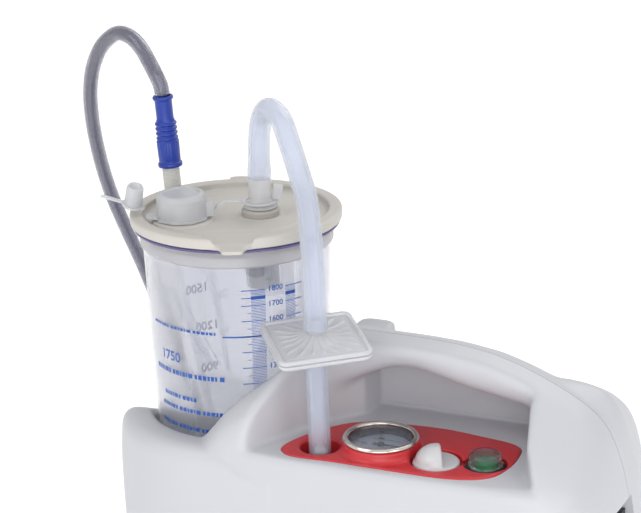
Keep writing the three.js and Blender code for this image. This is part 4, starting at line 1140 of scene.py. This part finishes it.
def make_straps():
    z = LID_Z
    strap = [(-104.4, -16.2, z + 2.6), (-98.5, -12, z + 7.6), (-93.5, -8.6, z + 8.0), (-87.6, -4.8, z + 7.4)]
    made = piece("cap_tether", *band(strap, 3.4, 1.2), cap_white, None, "cap_white", ("cap_strap",), 60)
    place(strap[0])
    place(strap[-1])
    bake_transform(made)
    collar = [(8.9, z + 6.9), (11.4, z + 6.9), (11.4, z + 8.0), (8.9, z + 8.0)]
    fin = [(-68.6, 4.2, z + 7.2), (-68.2, 4.4, z + 12), (-67.4, 4.7, z + 18)]
    view_across = (-math.sin(AZIMUTH), math.cos(AZIMUTH), 0)
    ring = joined([turned(collar, 0.3, VACUUM, 64), band(fin, 6.0, 1.1, up=view_across)])
    piece("tether_ring", *ring, cap_white, "bottle_set", "cap_white", (), 60)
    make_spare_plug()


def make_spare_plug():
    z = LID_Z
    stub = [(3.2, 0), (5.7, 0), (5.3, 11.6), (4.6, 13), (3.9, 13), (3.5, 11.8), (3.2, 2)]
    web = [(0, 1.4), (3.6, 1.4), (3.6, 2.6), (0, 2.6)]
    disc = [(0, -1.2), (6.8, -1.2), (6.8, 0.2), (0, 0.2)]
    solids = [turned(stub, 0.5, segments=48), lathe(web, segments=48, closed=False),
              turned(disc, 0.4, segments=48, closed=False)]
    lean = np.array(Matrix.Rotation(math.radians(15), 3, "Y") @ Matrix.Rotation(math.radians(8), 3, "X"))
    foot = np.array((-149, -34, z + 8.2))
    parts = [(verts @ lean.T + foot, faces) for verts, faces in solids]
    parts.append(band([(-141.8, -33.2, z + 5.2), (-144.5, -33.6, z + 6.6), (-149, -34, z + 7.8)], 5.0, 1.3))
    parts.append(band([(-151, -34, z + 8), (-161, -33, z + 9), (-173, -30.6, z + 10)], 3.4, 1.2))
    piece("spare_plug_body", *joined(parts), cap_white, "bottle_set", "cap_white", ("spare_plug",), 50)


def lean_spigot(verts):
    """From the spigot's own upright coordinates to where it leans on the lid."""
    turn = Matrix.Rotation(math.radians(24), 3, "Z") @ Matrix.Rotation(math.radians(-3.5), 3, "Y")
    return np.asarray(verts) @ np.array(turn).T + np.array((*SPIGOT, FITTING_Z))


def make_spigot():
    foot = [(2.6, -14), (4.1, -14), (4.1, 0.35), (8.2, 0.35), (8.2, 2.4), (6.2, 3.6), (2.6, 3.6)]
    threads = []
    for i in range(12):
        h = 4.0 + 1.5 * i
        threads += [(5.55, h), (5.55, h + 0.7), (5.25, h + 0.9), (5.25, h + 1.3)]
    stem = [(2.6, 3.2), (5.25, 3.2), *threads, (4.7, 23), (4.6, 31), (2.6, 31)]
    foot_verts, foot_faces = turned(foot, 0.3, SPIGOT, 60)
    stem_verts, stem_faces = lathe(stem, segments=60)
    spigot = joined([(foot_verts + (0, 0, FITTING_Z), foot_faces), (lean_spigot(stem_verts), stem_faces)])
    piece("spigot_body", *spigot, spigot_grey, "bottle_set", "lid_ivory", ("patient_spigot",))


def make_hose_connector():
    """The blue sleeve: a gripped lower part, four ribs, and a finely ribbed upper part."""
    low = 23.4
    profile = [(5.3, low), (7.6, low), (7.8, low + 1.2), (7.6, low + 2.6), (6.9, low + 3.0), (6.7, low + 4),
               (6.9, low + 16.0), (7.2, low + 16.8)]
    for i in range(4):
        rib = low + 17.6 + i * 3.1
        profile += [(6.3, rib), (6.9, rib + 0.7), (6.9, rib + 1.6), (6.1, rib + 2.3)]
    profile += [(5.5, low + 31.1), (5.4, low + 32.3), (5.5, low + 43.2), (6.4, low + 43.8), (6.6, low + 45),
                (6.2, low + 46), (4.9, low + 46), (4.9, low + 38), (2.6, low + 38), (2.6, low + 12),
                (5.2, low + 11)]
    verts, faces = lathe(rounded(profile, 0.45, closed=True, steps=4), segments=128)
    angle, height = np.arctan2(verts[:, 1], verts[:, 0]), verts[:, 2] - low
    r = np.hypot(verts[:, 0], verts[:, 1])
    grip = ramp(height, 3.2, 4.6) * (1 - ramp(height, 15.4, 16.6)) * (r > 5.8)
    upper = ramp(height, 32.3, 33.3) * (1 - ramp(height, 42.2, 43.2)) * (r > 5.2)
    scale = 1 + 0.055 * np.abs(np.sin(angle * 9)) * grip + 0.02 * np.cos(angle * 24) * upper
    verts[:, :2] *= scale[:, None]
    piece("connector_sleeve", lean_spigot(verts), faces, connector_blue, "bottle_set", "connector_blue",
          ("hose_connector",), 50)


# ---- suction line ----
SUCTION_ROUTE = [
    (-78, 0, 279), (-77.5, -0.5, 290), (-76, -2, 307), (-71.5, -6, 320), (-62.5, -14, 326.5),
    (-52, -22, 323), (-43.5, -29, 311), (-36, -34.5, 297), (-28, -41, 281), (-22, -49, 258),
    (-18, -55.5, 237), (-16.8, -57.8, 218), (-17.1, -57.4, 207),
]
FILTER = dict(at=(-17.5, -56.5, 198.5), half=28.5, turn=14, lean=6.5, facing=24)
TUBE_STEPS = 40         # points along the straight tube below the filter


def make_suction_line():
    path = smooth_line(SUCTION_ROUTE, 2.0)
    far = np.r_[0, np.cumsum(np.linalg.norm(np.diff(path, axis=0), axis=1))]
    flare = 0.7 * np.exp(-(far / 9) ** 2) + 1.0 * np.exp(-((far[-1] - far) / 6) ** 2)
    ones = np.ones(len(path))
    skins = [SUCTION_R * ones + flare, SUCTION_BORE * ones + flare * 0.8]
    piece("suction_hose", *sweep(path, skins, 36), silicone, "bottle_set", "silicone", ("suction_tube",), 50)
    base, top = np.array((*PORT, 119.0)), np.array((-18.1, -55.2, 190.5))
    lower = np.array([base + (top - base) * t for t in np.linspace(0, 1, TUBE_STEPS)])
    ones = np.ones(TUBE_STEPS)
    skins = [SUCTION_R * ones, PORT_TUBE_BORE * ones]
    piece("port_hose", *sweep(lower, skins, 36), silicone, "bottle_set", "silicone", ("lower_tube",), 50)


def filter_place(verts):
    """From the filter's own flat coordinates to where it hangs: turned, leaned and faced."""
    facing, lean, turn = (math.radians(FILTER[key]) for key in ("facing", "lean", "turn"))
    spin = Matrix.Rotation(facing, 3, "Z") @ Matrix.Rotation(lean, 3, "X") @ Matrix.Rotation(turn, 3, "Z")
    return np.asarray(verts) @ np.array(spin).T + np.array(FILTER["at"])


def make_filter():
    half, corner = FILTER["half"], 5.5
    for flip, name, node in ((1, "filter_lid", "filter_top"), (-1, "filter_tray", "filter_bottom")):
        def field(x, y, z):
            h = z * flip
            plan = corner_distance(np.abs(x) - half + corner, np.abs(y) - half + corner, corner)
            r, angle = np.hypot(x, y), np.arctan2(y, x)
            lip = 1.2 * ramp(plan, -3.6, -2.8) * (1 - 0.35 * ramp(plan, -0.8, 0))
            step = 0.5 * ramp(-plan, 4.4, 5.4)
            wave = np.clip(1.5 * np.cos(angle * 20) - 0.4, 0, 1)
            ribs = 0.75 * wave * ramp(r, 5, 7) * ramp(-plan, 6.0, 9.0)
            cone = 4.2 * np.clip((17 - r) / 12, 0, 1) ** 1.6
            face = 1.75 + lip + step + ribs + cone
            body = smooth_max(plan, (h - face) * 0.85, 0.9)
            body = np.maximum(body, 0.3 - h)
            body = np.maximum(body, -np.maximum(plan + 2.4, h - 1.3))
            stem = smooth_max(r - 4.3 + 0.05 * (h - 5), h - 14.5, 0.6)
            body = smooth_min(body, np.maximum(stem, 1.4 - h), 1.2)
            return np.maximum(body, 2.4 - r)

        low, high = (0, 15) if flip > 0 else (-15, 0)
        verts, faces = net(field, (-half - 0.5, -half - 0.5, low), (half + 0.5, half + 0.5, high), 0.65)
        piece(name, filter_place(verts), faces, filter_clear, "bottle_set", "clear_plastic", (node,), 180)
    side = half - 2.8
    sheet = rounded([(-side, -side), (side, -side), (side, side), (-side, side)], 3.4, closed=True)
    verts, faces = prism(sheet, -0.25, 0.25)
    piece("filter_sheet", filter_place(verts), faces, membrane, "bottle_set", "membrane_white",
          ("filter_membrane",), 30)


# ---- finishes ----
red = plastic("panel_red", (190, 48, 54), 0.36, grain=0.01, scale=1400, spread=0.05)
chrome = plastic("chrome", (226, 220, 212), 0.13, grain=0.003, scale=500, spread=0.03, metal=1.0)
black = plastic("black_plastic", (30, 31, 34), 0.42, grain=0.01, spread=0.1)
dial_paint = plastic("dial_paint", (176, 186, 200), 0.55, grain=0.004, spread=0.02)
ink_dark = plastic("dial_ink", (34, 36, 42), 0.6, grain=0.0, spread=0.1)
ink_blue = plastic("scale_ink", (30, 80, 160), 0.5, grain=0.0, spread=0.08)
knob_white = plastic("knob_white", (198, 198, 201), 0.3, grain=0.008, spread=0.012)
green = plastic("lens_green", (18, 116, 66), 0.2, grain=0.0, spread=0.1, Emission_Color=(0.02, 0.36, 0.12, 1),
                Emission_Strength=0.12)
window = clear("gauge_glass", (236, 242, 250), 0.02, 1.5, Alpha=0.3)
cap_clear = clear("cap_clear", (226, 218, 236), 0.04, 1.45, Alpha=0.7)
bottle_clear = clear("bottle_clear", (196, 198, 208), 0.02, 1.42, grain=0.002, Alpha=0.6)
bottle_frosted = clear("bottle_frosted", (196, 195, 198), 0.4, 1.42, grain=0.01, transmission=0.3, Alpha=0.62)
flange_violet = clear("flange_violet", (150, 140, 196), 0.1, 1.42, grain=0.01, transmission=0.7)
ivory = plastic("lid_ivory", (190, 186, 180), 0.46, grain=0.012, scale=1200, spread=0.02)
port_grey = plastic("port_grey", (168, 164, 157), 0.46, grain=0.012, spread=0.03)
spigot_grey = plastic("spigot_grey", (196, 195, 190), 0.42, grain=0.01, spread=0.02)
cap_white = clear("cap_white", (222, 223, 226), 0.3, 1.4, grain=0.008, transmission=0.4, Alpha=0.8)
white_clear = clear("white_clear", (226, 226, 228), 0.24, 1.42, grain=0.006, transmission=0.4, Alpha=0.72)
silicone = clear("silicone", (218, 224, 238), 0.2, 1.4, grain=0.006, transmission=0.6, Alpha=0.6)
filter_clear = clear("filter_clear", (226, 227, 231), 0.16, 1.45, grain=0.004, transmission=0.3, Alpha=0.72)
membrane = plastic("membrane", (240, 241, 244), 0.8, grain=0.03, scale=2500, spread=0.02)

KEPT = (    # the pieces that keep their CAD shapes
    (plastic("base_grey", (128, 130, 136), 0.5, grain=0.02), ("base_plate", "silencer")),
    (plastic("rubber", (28, 28, 30), 0.78, grain=0.02), (
        *(f"rubber_foot_{i}" for i in range(1, 5)), "diaphragm", "silencer_hose", "vacuum_hose",
        "inlet_hose")),
    (plastic("zinc_steel", (186, 188, 192), 0.3, grain=0.004, metal=1.0), (
        *(f"base_screw_{i}" for i in range(1, 5)), "regulator_stem", "switch_spring", "motor_shaft",
        "eccentric")),
    (plastic("cast_aluminium", (168, 170, 174), 0.52, grain=0.03, metal=1.0), (
        "crankcase", "connecting_rod", "pump_head")),
    (plastic("brass", (196, 164, 96), 0.3, grain=0.004, metal=1.0), ("regulator_valve", "gauge_movement")),
    (plastic("motor_paint", (64, 68, 76), 0.48, grain=0.015), ("motor",)),
    (plastic("moulded_black", (24, 25, 27), 0.45, grain=0.012), ("gauge_case", "cooling_fan", "mains_inlet")),
    (plastic("pressed_steel", (160, 163, 168), 0.4, grain=0.006, metal=1.0), ("power_supply",)),
    (plastic("board_green", (22, 86, 50), 0.4, grain=0.008, spread=0.1), ("control_board",)),
    (plastic("nylon_white", (222, 222, 216), 0.45, grain=0.01), ("inlet_spigot", "lid_gasket")),
)


def dress_kept():
    for material, names in KEPT:
        for name in names:
            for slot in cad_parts[name].material_slots:
                slot.material = material


dress_kept()
make_panel()
make_gauge()
make_knob()
make_switch()
make_bottle()
make_scale()
make_lid()
make_pour_cap()
make_vacuum_port()
make_straps()
make_spigot()
make_hose_connector()
make_suction_line()
make_filter()
